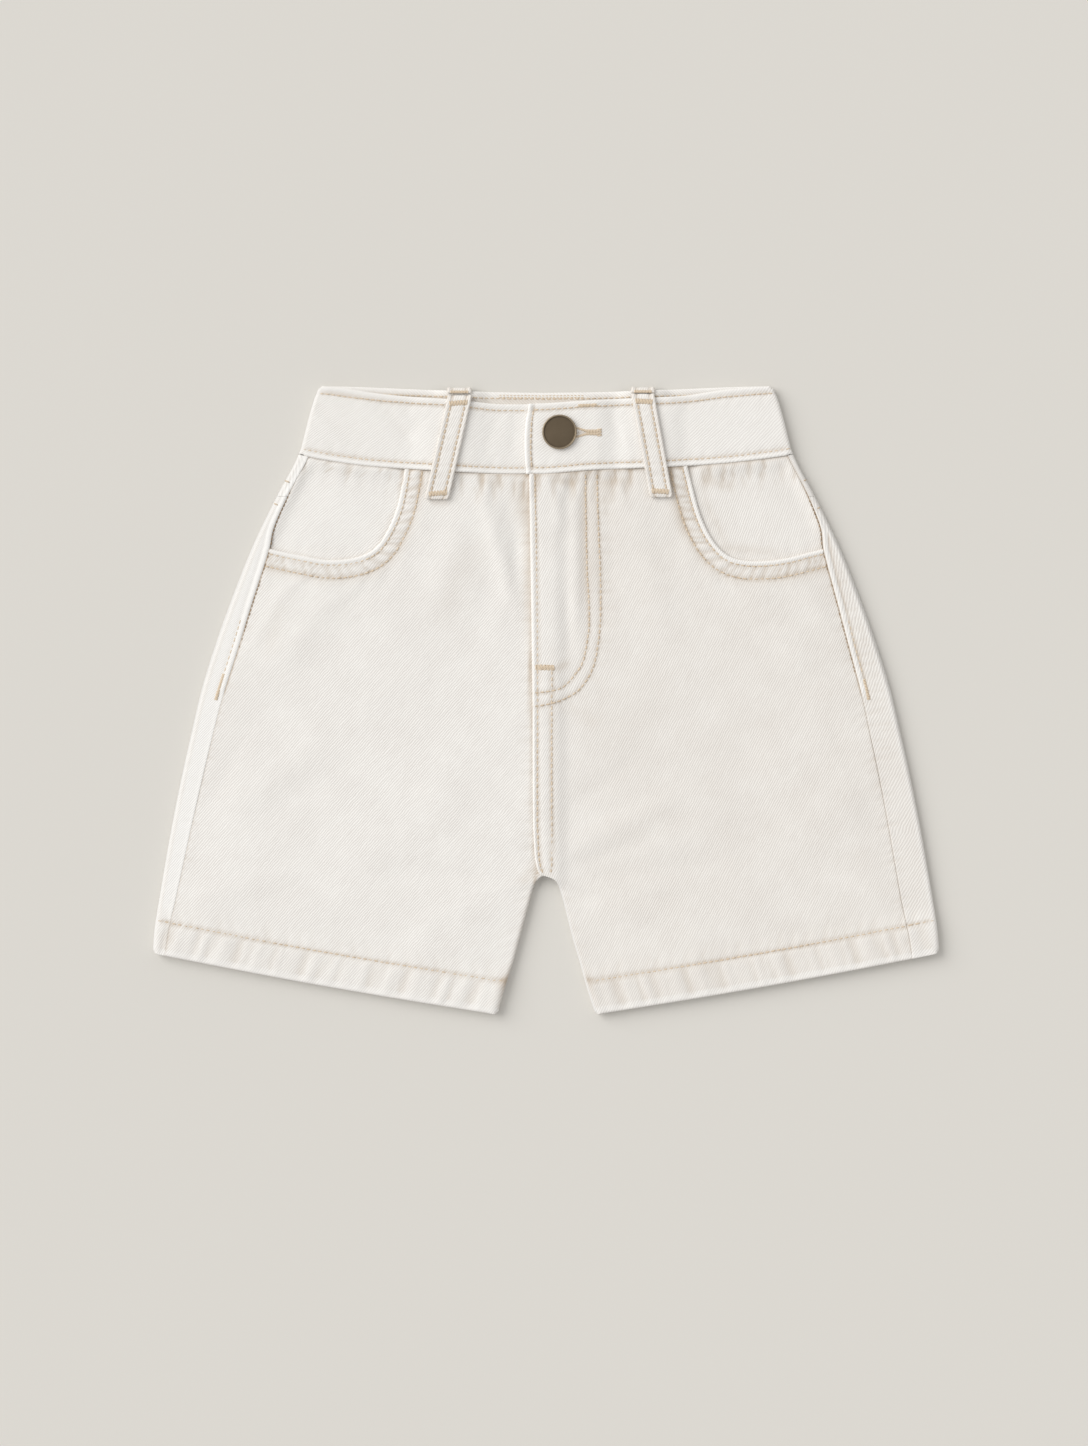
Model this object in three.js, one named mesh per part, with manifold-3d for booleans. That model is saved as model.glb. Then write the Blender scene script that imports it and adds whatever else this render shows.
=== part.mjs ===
import * as THREE from 'three';
import { mergeVertices } from 'three/addons/utils/BufferGeometryUtils.js';
import Module from 'manifold-3d';

const wasm = await Module();
wasm.setup();

// A child's high-waisted denim shorts, buttoned and laid flat with the front up.
// Millimetres. +X is the picture's right, +Y runs from the hems to the waistband, +Z is up.
// The floor is z = 0, and the garment's silhouette is centred on x = 0, y = 0.

// Cloth
const WALL = 1.2; // one layer of heavy denim, with what lies behind it pressed flat
const BAND_WALL = 2.2; // waistband, folded double
const HEM_WALL = 2.3; // turned-up hem
const LOOP_WALL = 1.6; // belt loop, folded in three
const GAP = 0.3; // between neighbours
const STEP = WALL + GAP; // one layer lying on another

// Heights of the flat garment
const FLAT = 4.8; // over the side folds
const FLAT_HEM = 5.9; // over the hems
const PUFF = 0.6; // extra air between front and back, away from the folds
const LOOP_RISE = LOOP_WALL + GAP; // the back stands over the belt loops that lie under it

// Lengths along the legs
const HEM_DEPTH = 18;
const HEM_Y = { outer: -139, inner: -172.6, bow: 1.2 };
const HEM_X = { outer: 216, inner: 27 };
const CROTCH_Y = -96;
const WAIST_Y = { side: 134.9, centreBack: 130.2 };
const YOKE_Y = { side: 113, centreBack: 84 };
const YOKE_HALF = 147; // half the yoke seam's width
const CURL_Y = { none: -97.5, full: -103 }; // where the inside legs' edges begin to curl

// Silhouette of the outer folds: half the width at each height
const SIDE = [
  { y: 172.5, half: 124.6 }, { y: 165, half: 127.4 }, { y: 154, half: 130.6 },
  { y: 134.9, half: 135.9 }, { y: 113.4, half: 147.2 }, { y: 87, half: 160.1 },
  { y: 60.6, half: 170.8 }, { y: 34.2, half: 180.4 }, { y: 7.8, half: 188.7 },
  { y: -18.6, half: 195 }, { y: -45, half: 200.8 }, { y: -71.4, half: 206 },
  { y: -97.8, half: 210.6 }, { y: -124.2, half: 214.8 }, { y: -139, half: 216 },
];

// Distance from the outer fold to the side seam, which lies on the top of each leg
const SIDE_SEAM = [
  { y: 134.9, left: 5.5, right: 3.2 }, { y: 112, left: 5.5, right: 3.4 },
  { y: 96, left: 6.3, right: 5 }, { y: 84, left: 9.2, right: 9 },
  { y: 55, left: 11.2, right: 12.6 }, { y: 28, left: 12.4, right: 14.9 },
  { y: -12, left: 11.6, right: 16.2 }, { y: -60, left: 10.7, right: 16.8 },
  { y: -106, left: 9, right: 17.1 }, { y: -141, left: 6.8, right: 14.8 },
];

// Waistband edges on the front, by distance from the centre line
const BAND_FRONT = [
  { x: 0, seamLeft: 124, seamRight: 124, topLeft: 162.9, topRight: 162.9 },
  { x: 25, seamLeft: 124.1, seamRight: 126.2, topLeft: 162.5, topRight: 164.6 },
  { x: 50, seamLeft: 125.3, seamRight: 127.2, topLeft: 165, topRight: 165.8 },
  { x: 75, seamLeft: 126.8, seamRight: 128.4, topLeft: 166.6, topRight: 167 },
  { x: 100, seamLeft: 128.8, seamRight: 130.2, topLeft: 168.8, topRight: 170 },
  { x: 124, seamLeft: 132.4, seamRight: 133.1, topLeft: 171.8, topRight: 171.9 },
  { x: 136, seamLeft: 134.9, seamRight: 134.9, topLeft: 172.5, topRight: 172.5 },
];

// Waistband edges on the back
const BAND_BACK = [
  { x: 0, seam: 130.2, top: 169 }, { x: 30, seam: 130.5, top: 169.4 },
  { x: 60, seam: 131.4, top: 170.4 }, { x: 95, seam: 133, top: 171.7 },
  { x: 124, seam: 134.5, top: 172.5 }, { x: 136, seam: 134.9, top: 172.5 },
];

// Inner edge of each front: the centre-front lap, then the crotch, then the inside leg
const FRONT_EDGE = [
  { y: 125, left: 3, right: -9.4 }, { y: 60, left: 3, right: -8.3 },
  { y: 0, left: 2.8, right: -7.5 }, { y: -66, left: 2.6, right: -7.1 },
  { y: -84, left: 2.4, right: -6.3 }, { y: -91, left: 1.9, right: -5.3 },
  { y: -94.4, left: 1, right: -4.2 }, { y: -96, left: -0.6, right: -2.7 },
  { y: -96.9, left: -2.4, right: 0.6 }, { y: -97.8, left: -3.9, right: 3.2 },
  { y: -99.2, left: -5.3, right: 5.2 }, { y: -102, left: -6.7, right: 6.9 },
  { y: -109.9, left: -8.9, right: 9.3 },
  { y: -131.9, left: -14.9, right: 14.9 }, { y: -142.9, left: -17.8, right: 18.2 },
  { y: -159.4, left: -23.1, right: 22.8 }, { y: -172.6, left: -26.6, right: 27.2 },
];

// Inner edge of each back: the seat seam, then the same crotch and inside leg
const BACK_EDGE = [
  { y: 135, left: -0.15, right: 0.15 }, { y: -90, left: -0.15, right: 0.15 },
  { y: -95.6, left: -0.6, right: 0.4 }, { y: -96.9, left: -2.4, right: 0.9 },
  { y: -97.8, left: -3.9, right: 3.2 }, { y: -99.2, left: -5.3, right: 5.2 },
  { y: -102, left: -6.7, right: 6.9 }, { y: -109.9, left: -8.9, right: 9.3 },
  { y: -131.9, left: -14.9, right: 14.9 }, { y: -142.9, left: -17.8, right: 18.2 },
  { y: -159.4, left: -23.1, right: 22.8 }, { y: -172.6, left: -26.6, right: 27.2 },
];

// Pocket openings: the folded edge of each front, from the waistband to the side seam
const POCKET = {
  left: [[-77.4, 140], [-77.6, 127.4], [-79.8, 115.1], [-82.1, 105.2], [-86.7, 94], [-92.6, 84.8],
    [-99.7, 80], [-109.5, 77.5], [-120.7, 77.1], [-131.2, 78.9], [-141.7, 81], [-170, 87]],
  right: [[77.6, 140], [77.9, 128.1], [81.4, 113.8], [85.6, 99.9], [91.9, 87.6], [99.6, 79.9],
    [108.8, 76.8], [121.2, 76.6], [132.7, 78.2], [142.8, 80.8], [170, 86]],
};
const POCKET_UNDER = 11; // how far the facing runs on under the front
const OUTSIDE = [[190, 150], [150, 170]]; // corners well outside the garment, for the pocket cutters

// Folds in the front: soft ridges and troughs between two points
const FOLDS = [
  { x0: 15.5, y0: 119, x1: 16.5, y1: 36, width: 4.5, height: 0.9 },
  { x0: -14, y0: 112, x1: -13, y1: 20, width: 5, height: -0.5 },
  { x0: 6, y0: 118, x1: 9, y1: 92, width: 4, height: 0.6 },
  { x0: -12, y0: -84, x1: -70, y1: -48, width: 7, height: 0.7 },
  { x0: 12, y0: -82, x1: 74, y1: -52, width: 7, height: 0.6 },
  { x0: -16, y0: -100, x1: -92, y1: -92, width: 8, height: -0.5 },
  { x0: 17, y0: -98, x1: 96, y1: -88, width: 8, height: -0.5 },
  { x0: -40, y0: 112, x1: -64, y1: 44, width: 9, height: 0.5 },
  { x0: 48, y0: 110, x1: 66, y1: 30, width: 9, height: 0.5 },
  { x0: -112, y0: 58, x1: -150, y1: 18, width: 9, height: 0.6 },
  { x0: 108, y0: 60, x1: 146, y1: 14, width: 9, height: 0.6 },
  { x0: -120, y0: -20, x1: -176, y1: -64, width: 10, height: 0.5 },
  { x0: 118, y0: -30, x1: 172, y1: -70, width: 10, height: 0.5 },
  { x0: -60, y0: -118, x1: -76, y1: -150, width: 9, height: 0.4 },
  { x0: 70, y0: -112, x1: 92, y1: -146, width: 9, height: 0.4 },
];

// Belt loops: centre lines on the front, from the band's top edge to the bar tack below it
const LOOPS = {
  left: { top: { x: -47.9, y: 163.4 }, foot: { x: -60, y: 110.1 }, width: 13.3 },
  right: { top: { x: 53.4, y: 165.5 }, foot: { x: 63.3, y: 111.2 }, width: 12.7 },
};
const BACK_LOOPS = {
  left: { x: -47.6, width: 13.2 },
  right: { x: 53.2, width: 12.8 },
};
const BACK_LOOP_FOOT = 116;
const BACK_LOOP_LIP = 1.8; // how far the top end turns down inside the band

// Where the front belt loops bend: distances from the foot, the waist seam and the band's top edge
const LOOP_BENDS = { foot: 3, belowSeam: 5, atSeam: 1.5, aboveSeam: 6, belowEdge: 3, atEdge: 0.6 };
const LOOP_LIFT = 0.5; // spring of the foot off the leg
const LOOP_LEVELS = [135, 145, 155];
const BACK_LOOP_LEVELS = [124, 134, 146, 158];

// Centre front of the waistband
const TAB_X = -10.2; // end of the lap, on top
const UNDER_X = 24; // end of the layer under it
const TAB_HEIGHT = 7.5;
const UNDER_HEIGHT = 5;

// Height of the waistband on the front, which is higher over the belt loops under and behind it
const BAND_HEIGHT = 5.5;
const BAND_HUMPS = [{ x: -53, top: 9, foot: 24 }, { x: 57, top: 9, foot: 22 }];
const BAND_HUMP = 1.3;
const BAND_TOP = 172.5;
const LAP_FADE_X = { from: UNDER_X + 2, to: 42 };

// Columns of the waistband, in order round the strip
const BAND_COLUMNS = {
  lap: [TAB_X, -5, 2, 9, 16, 22, LAP_FADE_X.from],
  right: [31, 36, 41, 47, 54, 61, 67, 76, 88, 102, 116],
  backEnds: [104, 118],
  left: [-116, -102, -88, -76, -68, -61, -54, -47, -40, -32, -24],
  under: [-17, -11, -4, 3, 10, 17, UNDER_X],
};
const BAND_ROWS = [0, 0.1, 0.5, 0.9, 1];

// Button: its profile is given as the distance in from the rim and the height over the cloth
const BUTTON = { x: 7.4, y: 147, radius: 9.5, shank: 2.6, hole: 3 };
const BUTTON_PROFILE = [
  [1.2, 0], [0.3, 0.5], [0, 1.1], [0.2, 1.65], [0.6, 1.9], [1, 1.65], [1.35, 1], [5.5, 1.1], [9.5, 1.2],
];

const COLOUR = { denim: 0xeae5da, denimInside: 0xe4ded2, button: 0x5c5040 };

// Numbers and curves
const lerp = (a, b, t) => a + (b - a) * t;
const clamp = (t) => Math.min(1, Math.max(0, t));
const smooth = (a, b, t) => {
  const s = clamp((t - a) / (b - a));
  return s * s * (3 - 2 * s);
};

// Value of one column of a table at a height or distance, with no overshoot between the rows
function read(table, key, column, at) {
  const falling = table[0][key] > table[table.length - 1][key];
  const rows = falling ? [...table].reverse() : table;
  const last = rows.length - 1;
  if (at <= rows[0][key]) return rows[0][column];
  if (at >= rows[last][key]) return rows[last][column];
  let i = 0;
  while (rows[i + 1][key] < at) i += 1;
  const slope = (j) => {
    const a = Math.max(0, j - 1);
    const b = Math.min(last, j + 1);
    return (rows[b][column] - rows[a][column]) / (rows[b][key] - rows[a][key]);
  };
  const span = rows[i + 1][key] - rows[i][key];
  const t = (at - rows[i][key]) / span;
  const [p0, p1] = [rows[i][column], rows[i + 1][column]];
  const [m0, m1] = [slope(i) * span, slope(i + 1) * span];
  const value = (2 * t ** 3 - 3 * t ** 2 + 1) * p0 + (t ** 3 - 2 * t ** 2 + t) * m0
    + (3 * t ** 2 - 2 * t ** 3) * p1 + (t ** 3 - t ** 2) * m1;
  return Math.min(Math.max(p0, p1), Math.max(Math.min(p0, p1), value));
}

const sign = (side) => (side === 'left' ? -1 : 1);
const foldX = (side, y) => sign(side) * read(SIDE, 'y', 'half', y);
const seamInset = (side, y) => read(SIDE_SEAM, 'y', side, y);
const frontSeamY = (x) => read(BAND_FRONT, 'x', x < 0 ? 'seamLeft' : 'seamRight', Math.abs(x));
const frontTopY = (x) => read(BAND_FRONT, 'x', x < 0 ? 'topLeft' : 'topRight', Math.abs(x));
const backSeamY = (x) => read(BAND_BACK, 'x', 'seam', Math.abs(x));
const backTopY = (x) => read(BAND_BACK, 'x', 'top', Math.abs(x));

// The hems run straight from the outer fold down to the inside leg, bowed a little
function hemY(x) {
  const t = clamp((Math.abs(x) - HEM_X.inner) / (HEM_X.outer - HEM_X.inner));
  return lerp(HEM_Y.inner, HEM_Y.outer, t) - HEM_Y.bow * Math.sin(Math.PI * t);
}

// Top and bottom edges of the yokes and backs: heights at the centre back and at the outer fold
const yokeSeam = (x) => lerp(YOKE_Y.centreBack, YOKE_Y.side, clamp(Math.abs(x) / YOKE_HALF));
const YOKE_TOP = {
  inner: WAIST_Y.centreBack - GAP / 2, outer: WAIST_Y.side - GAP / 2, profile: (x) => backSeamY(x) - GAP / 2,
};
const YOKE_FOOT = {
  inner: YOKE_Y.centreBack + GAP / 2, outer: YOKE_Y.side + GAP / 2, profile: (x) => yokeSeam(x) + GAP / 2,
};
const BACK_TOP = {
  inner: YOKE_Y.centreBack - GAP / 2, outer: YOKE_Y.side - GAP / 2, profile: (x) => yokeSeam(x) - GAP / 2,
};
const BACK_HEM = { inner: HEM_Y.inner, outer: HEM_Y.outer, profile: hemY };

// Rows of the panels as shares of their length, closer together at the crotch and at the hem's edge.
// The fronts share the outer ends of their rows with the yokes and the backs.
const YOKE_ROWS = [0, 0.25, 0.5, 0.75, 1];
const BACK_ROWS = [0, 0.05, 0.1, 0.16, 0.24, 0.33, 0.42, 0.51, 0.6, 0.667, 0.695, 0.702, 0.706, 0.712, 0.734,
  0.8, 0.86, 0.905, 0.925, 0.94, 1];
const FRONT_ROWS = [0, 0.03, 0.06, 0.09, 0.13, 0.17, 0.22, 0.27, 0.33, 0.41, 0.49, 0.57, 0.64,
  0.712, 0.736, 0.742, 0.7455, 0.751, 0.77, 0.84, 0.88, 0.91, 0.93, 0.942, 1];
const SIDE_ROWS = [
  ...YOKE_ROWS.map((v) => lerp(YOKE_TOP.outer, YOKE_FOOT.outer, v)),
  ...BACK_ROWS.slice(1).map((v) => lerp(BACK_TOP.outer, BACK_HEM.outer, v)),
];

// Columns: distances from the inner edge
const EDGE_LEAD = FLAT / 2 + 0.6; // clear of the curled inside-leg edge
const LAP_STEPS = [0, 4, 8, 12.5, 16, 19.5, 24, 30, 40, 54];
const FRONT_SHARES = [0.18, 0.36, 0.54, 0.7, 0.86, 1];
const BACK_STEPS = [3, 40, 80, 120];
const yokeSteps = (side) => {
  const loop = Math.abs(BACK_LOOPS[side].x);
  const flat = BACK_LOOPS[side].width / 2 + 1.2;
  return [3, 16, loop - 17, loop - flat, loop, loop + flat, loop + 17, 90, 112];
};
const FOLD_ANGLES = [14, 45, 90, 135, 166];

// Height of a soft fold at a point, fading at its two ends
function foldHeight(fold, x, y) {
  const dx = fold.x1 - fold.x0;
  const dy = fold.y1 - fold.y0;
  const length2 = dx * dx + dy * dy;
  const along = ((x - fold.x0) * dx + (y - fold.y0) * dy) / length2;
  const across = ((x - fold.x0) * dy - (y - fold.y0) * dx) / Math.sqrt(length2);
  const fade = smooth(-0.12, 0.2, along) * (1 - smooth(0.75, 1.12, along));
  return fold.height * fade * Math.exp(-((across / fold.width) ** 2));
}

// Height of the outer fold's top, which grows over the thicker hems
const flatHeight = (x, y) => lerp(FLAT_HEM, FLAT, smooth(HEM_DEPTH - 4, HEM_DEPTH + 12, y - hemY(x)));
const wallAt = (x, y) => lerp(HEM_WALL, WALL, smooth(HEM_DEPTH, HEM_DEPTH + 3, y - hemY(x)));

// Outer height of the front anywhere, folds and all
function frontHeight(x, y) {
  const outer = Math.abs(foldX(x < 0 ? 'left' : 'right', y)) - Math.abs(x);
  const body = 60 * smooth(CROTCH_Y - 14, CROTCH_Y + 6, y);
  const inner = Math.abs(x) - Math.abs(read(BACK_EDGE, 'y', 'right', y)) + body;
  const room = Math.max(0, Math.min(outer, inner) - 10);
  const soft = smooth(0, 26, room);
  const above = smooth(HEM_DEPTH, HEM_DEPTH + 14, y - hemY(x));
  const creases = FOLDS.reduce((sum, fold) => sum + foldHeight(fold, x, y), 0);
  return flatHeight(x, y) + soft * (PUFF * above + creases);
}

// How far the back is lifted off the floor by the belt loops under it
function backRise(x, y) {
  const loop = x < 0 ? BACK_LOOPS.left : BACK_LOOPS.right;
  const across = 1 - smooth(loop.width / 2 + 1.2, loop.width / 2 + 10, Math.abs(x - loop.x));
  return LOOP_RISE * across * smooth(BACK_LOOP_FOOT - 14, BACK_LOOP_FOOT - 2, y);
}

// Closed body between two grids of points, given as rows of [x, y, z]
function shell(outer, inner) {
  const rows = outer.length;
  const cols = outer[0].length;
  const positions = [...outer.flat(), ...inner.flat()].flat();
  const id = (skin, r, c) => skin * rows * cols + r * cols + c;
  const index = [];
  const quad = (a, b, c, d) => index.push(a, b, c, a, c, d);
  for (let r = 0; r < rows - 1; r += 1) {
    for (let c = 0; c < cols - 1; c += 1) {
      quad(id(0, r, c), id(0, r, c + 1), id(0, r + 1, c + 1), id(0, r + 1, c));
      quad(id(1, r, c), id(1, r + 1, c), id(1, r + 1, c + 1), id(1, r, c + 1));
    }
  }
  for (let r = 0; r < rows - 1; r += 1) {
    quad(id(0, r, 0), id(0, r + 1, 0), id(1, r + 1, 0), id(1, r, 0));
    quad(id(0, r + 1, cols - 1), id(0, r, cols - 1), id(1, r, cols - 1), id(1, r + 1, cols - 1));
  }
  for (let c = 0; c < cols - 1; c += 1) {
    quad(id(0, 0, c + 1), id(0, 0, c), id(1, 0, c), id(1, 0, c + 1));
    quad(id(0, rows - 1, c), id(0, rows - 1, c + 1), id(1, rows - 1, c + 1), id(1, rows - 1, c));
  }
  if (signedVolume(positions, index) < 0) {
    for (let i = 0; i < index.length; i += 3) [index[i + 1], index[i + 2]] = [index[i + 2], index[i + 1]];
  }
  const geometry = new THREE.BufferGeometry();
  geometry.setAttribute('position', new THREE.Float32BufferAttribute(positions, 3));
  geometry.setIndex(index);
  return geometry;
}

function signedVolume(positions, index) {
  const point = (i) => new THREE.Vector3().fromArray(positions, index[i] * 3);
  let total = 0;
  for (let i = 0; i < index.length; i += 3) {
    total += point(i).dot(point(i + 1).cross(point(i + 2)));
  }
  return total;
}

// Solids that can be cut, and back again
function toSolid(geometry) {
  const bare = geometry.clone();
  bare.deleteAttribute('normal');
  bare.deleteAttribute('uv');
  const merged = mergeVertices(bare, 1e-3);
  return new wasm.Manifold(new wasm.Mesh({
    numProp: 3,
    vertProperties: new Float32Array(merged.attributes.position.array),
    triVerts: new Uint32Array(merged.index.array),
  }));
}

function toGeometry(solid) {
  const mesh = solid.getMesh();
  const geometry = new THREE.BufferGeometry();
  geometry.setAttribute('position', new THREE.BufferAttribute(new Float32Array(mesh.vertProperties), 3));
  geometry.setIndex(new THREE.BufferAttribute(new Uint32Array(mesh.triVerts), 1));
  return geometry;
}

// Upright prism over an outline, tall enough to cut right through the garment
function prism(outline) {
  const shape = new THREE.Shape(outline.map(([x, y]) => new THREE.Vector2(x, y)));
  const geometry = new THREE.ExtrudeGeometry(shape, { depth: 30, bevelEnabled: false });
  return toSolid(geometry.translate(0, 0, -10));
}

// Outline of a pocket mouth, grown towards the leg by a margin
function pocketOutline(side, margin) {
  const edge = POCKET[side];
  const s = sign(side);
  const grown = edge.map(([x, y], i) => {
    const [xa, ya] = edge[Math.max(0, i - 1)];
    const [xb, yb] = edge[Math.min(edge.length - 1, i + 1)];
    const length = Math.hypot(xb - xa, yb - ya);
    return [x + (s * margin * (yb - ya)) / length, y - (s * margin * (xb - xa)) / length];
  });
  return [...grown, ...OUTSIDE.map(([x, y]) => [s * x, y]), [grown[0][0], OUTSIDE[1][1]]];
}

// Point on the top of a leg, between the outer fold and the side seam, on the row that starts at sideY
function topPoint(side, x, sideY) {
  const v = (WAIST_Y.side - sideY) / (WAIST_Y.side - HEM_Y.outer);
  return [x, sideY + (1 - v) * (frontSeamY(x) - WAIST_Y.side) + v * (hemY(x) - HEM_Y.outer)];
}

// Side seam on the row that starts at sideY, moved in by a margin
function seamPoint(side, sideY, margin) {
  return topPoint(side, foldX(side, sideY) - sign(side) * (seamInset(side, sideY) + margin), sideY);
}

// Share of the inside-leg curl at a height: none in the body, all of it down the leg
const curlAt = (y) => 1 - smooth(CURL_Y.full, CURL_Y.none, y);

// How far the lapping front is lifted by the layer it lies on
function lapRise(x, y) {
  const across = 1 - smooth(4, 13, x);
  return STEP * across * smooth(-106, -98, y);
}

// Row of points [x, y] across a panel, from its inner edge to its outer one, bent between the
// profiles of its top and bottom edges
function panelRow(inner, outer, v, top, bottom) {
  const bend = (edge, u) => {
    const x = lerp(edge.inner[0], edge.outer[0], u);
    return edge.profile(x) - lerp(edge.inner[1], edge.outer[1], u);
  };
  return (u) => [
    lerp(inner[0], outer[0], u),
    lerp(inner[1], outer[1], u) + (1 - v) * bend(top, u) + v * bend(bottom, u),
  ];
}

// Points across the rounded inside-leg edge: columns of [outer, inner] points at falling angles.
// rise is 1 on the front, which curls down to the seam, and -1 on the back, which curls up to it.
const CURL_ANGLES = [86, 58, 28];
function curlColumns(edge, slope, side, height, flatZ, wall, rise) {
  const curl = curlAt(edge[1]);
  const middle = height / 2;
  const normal = new THREE.Vector2(sign(side), sign(side) * slope).normalize();
  return CURL_ANGLES.map((angle) => {
    const a = THREE.MathUtils.degToRad(angle);
    return [middle, middle - wall].map((radius, skin) => {
      const d = middle - radius * Math.sin(a);
      const z = flatZ - rise * skin * wall;
      return [
        edge[0] + normal.x * d,
        edge[1] + normal.y * d * curl * 0.6,
        lerp(z, middle + rise * radius * Math.cos(a), curl),
      ];
    });
  });
}

// Front of one leg, from the lap, crotch and inside leg to the side seam
function frontPanel(side, drop = 0) {
  const start = FRONT_EDGE[0].y;
  const edgeAt = (y) => [read(FRONT_EDGE, 'y', side, y), y];
  const top = {
    inner: [edgeAt(start)[0], frontSeamY(edgeAt(start)[0]) - GAP / 2],
    outer: seamPoint(side, SIDE_ROWS[0], GAP / 2),
    profile: (x) => frontSeamY(x) - GAP / 2,
  };
  const bottom = {
    inner: edgeAt(HEM_Y.inner),
    outer: seamPoint(side, HEM_Y.outer, GAP / 2),
    profile: hemY,
  };
  const lift = (x, y) => (side === 'right' ? lapRise(x, y) : 0) - drop;
  const grid = { outer: [], inner: [] };
  SIDE_ROWS.forEach((sideY, i) => {
    const v = (SIDE_ROWS[0] - sideY) / (SIDE_ROWS[0] - HEM_Y.outer);
    const edge = edgeAt(lerp(top.inner[1], HEM_Y.inner, FRONT_ROWS[i]));
    const row = panelRow(edge, seamPoint(side, sideY, GAP / 2), v, top, bottom);
    const width = Math.abs(row(1)[0] - edge[0]);
    const slope = (edgeAt(edge[1] - 2)[0] - edgeAt(edge[1] + 2)[0]) / 4;
    const height = (x, y) => frontHeight(x, y) + lift(x, y);
    const columns = [];
    if (drop === 0) {
      const [x, y] = row(0);
      columns.push(...curlColumns([x, y], slope, side, height(x, y), height(x, y), wallAt(x, y), 1));
    }
    const steps = LAP_STEPS.map((d) => (EDGE_LEAD + d) / width);
    const rest = steps[steps.length - 1];
    steps.push(...FRONT_SHARES.map((t) => lerp(rest, 1, t)));
    for (const u of steps) {
      const [x, y] = row(u);
      const z = height(x, y);
      columns.push([[x, y, z], [x, y, z - wallAt(x, y)]]);
    }
    grid.outer.push(columns.map((pair) => pair[0]));
    grid.inner.push(columns.map((pair) => pair[1]));
  });
  return shell(grid.outer, grid.inner);
}

// Back of one leg or one yoke: under the body, round the outer fold and up to the side seam on top.
// across lists the distances from the inner edge of the columns under the body.
function backPanel(side, top, bottom, rowsAt, across) {
  const s = sign(side);
  const edgeAt = (y) => [read(BACK_EDGE, 'y', side, y), y];
  const corner = (row) => ({
    inner: edgeAt(row.inner), outer: [foldX(side, row.outer), row.outer], profile: row.profile,
  });
  const grid = { outer: [], inner: [] };
  for (const v of rowsAt) {
    const sideY = lerp(top.outer, bottom.outer, v);
    const edge = edgeAt(lerp(top.inner, bottom.inner, v));
    const fold = [foldX(side, sideY), sideY];
    const row = panelRow(edge, fold, v, corner(top), corner(bottom));
    const width = Math.abs(fold[0] - edge[0]);
    const slope = (edgeAt(edge[1] - 2)[0] - edgeAt(edge[1] + 2)[0]) / 4;
    const [ex, ey] = row(0);
    const columns = curlColumns([ex, ey], slope, side, flatHeight(ex, ey), 0, wallAt(ex, ey), -1);
    const end = width - FLAT_HEM / 2 - 0.6;
    for (const distance of [...across, end]) {
      const [x, y] = row(distance / width);
      const rise = backRise(x, y);
      columns.push([[x, y, rise], [x, y, rise + wallAt(x, y)]]);
    }
    const h = flatHeight(...fold);
    const wall = wallAt(...fold);
    for (const angle of FOLD_ANGLES) {
      const a = THREE.MathUtils.degToRad(angle);
      columns.push([h / 2, h / 2 - wall].map((radius) => {
        const d = h / 2 - radius * Math.sin(a);
        const x = fold[0] - s * d;
        const y = angle < 90 ? row(1 - d / width)[1] : topPoint(side, x, sideY)[1];
        return [x, y, h / 2 - radius * Math.cos(a)];
      }));
    }
    const seam = seamPoint(side, sideY, -GAP / 2);
    for (const t of [0.5, 1]) {
      const [x, y] = topPoint(side, lerp(fold[0] - (s * h) / 2, seam[0], t), sideY);
      columns.push([[x, y, h], [x, y, h - wallAt(x, y)]]);
    }
    grid.outer.push(columns.map((pair) => pair[0]));
    grid.inner.push(columns.map((pair) => pair[1]));
  }
  return shell(grid.outer, grid.inner);
}

// Outer height of the waistband on the front
function bandHeight(x) {
  const humps = BAND_HUMPS.map((hump) => 1 - smooth(hump.top, hump.foot, Math.abs(x - hump.x)));
  return BAND_HEIGHT + BAND_HUMP * Math.max(...humps);
}

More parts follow.
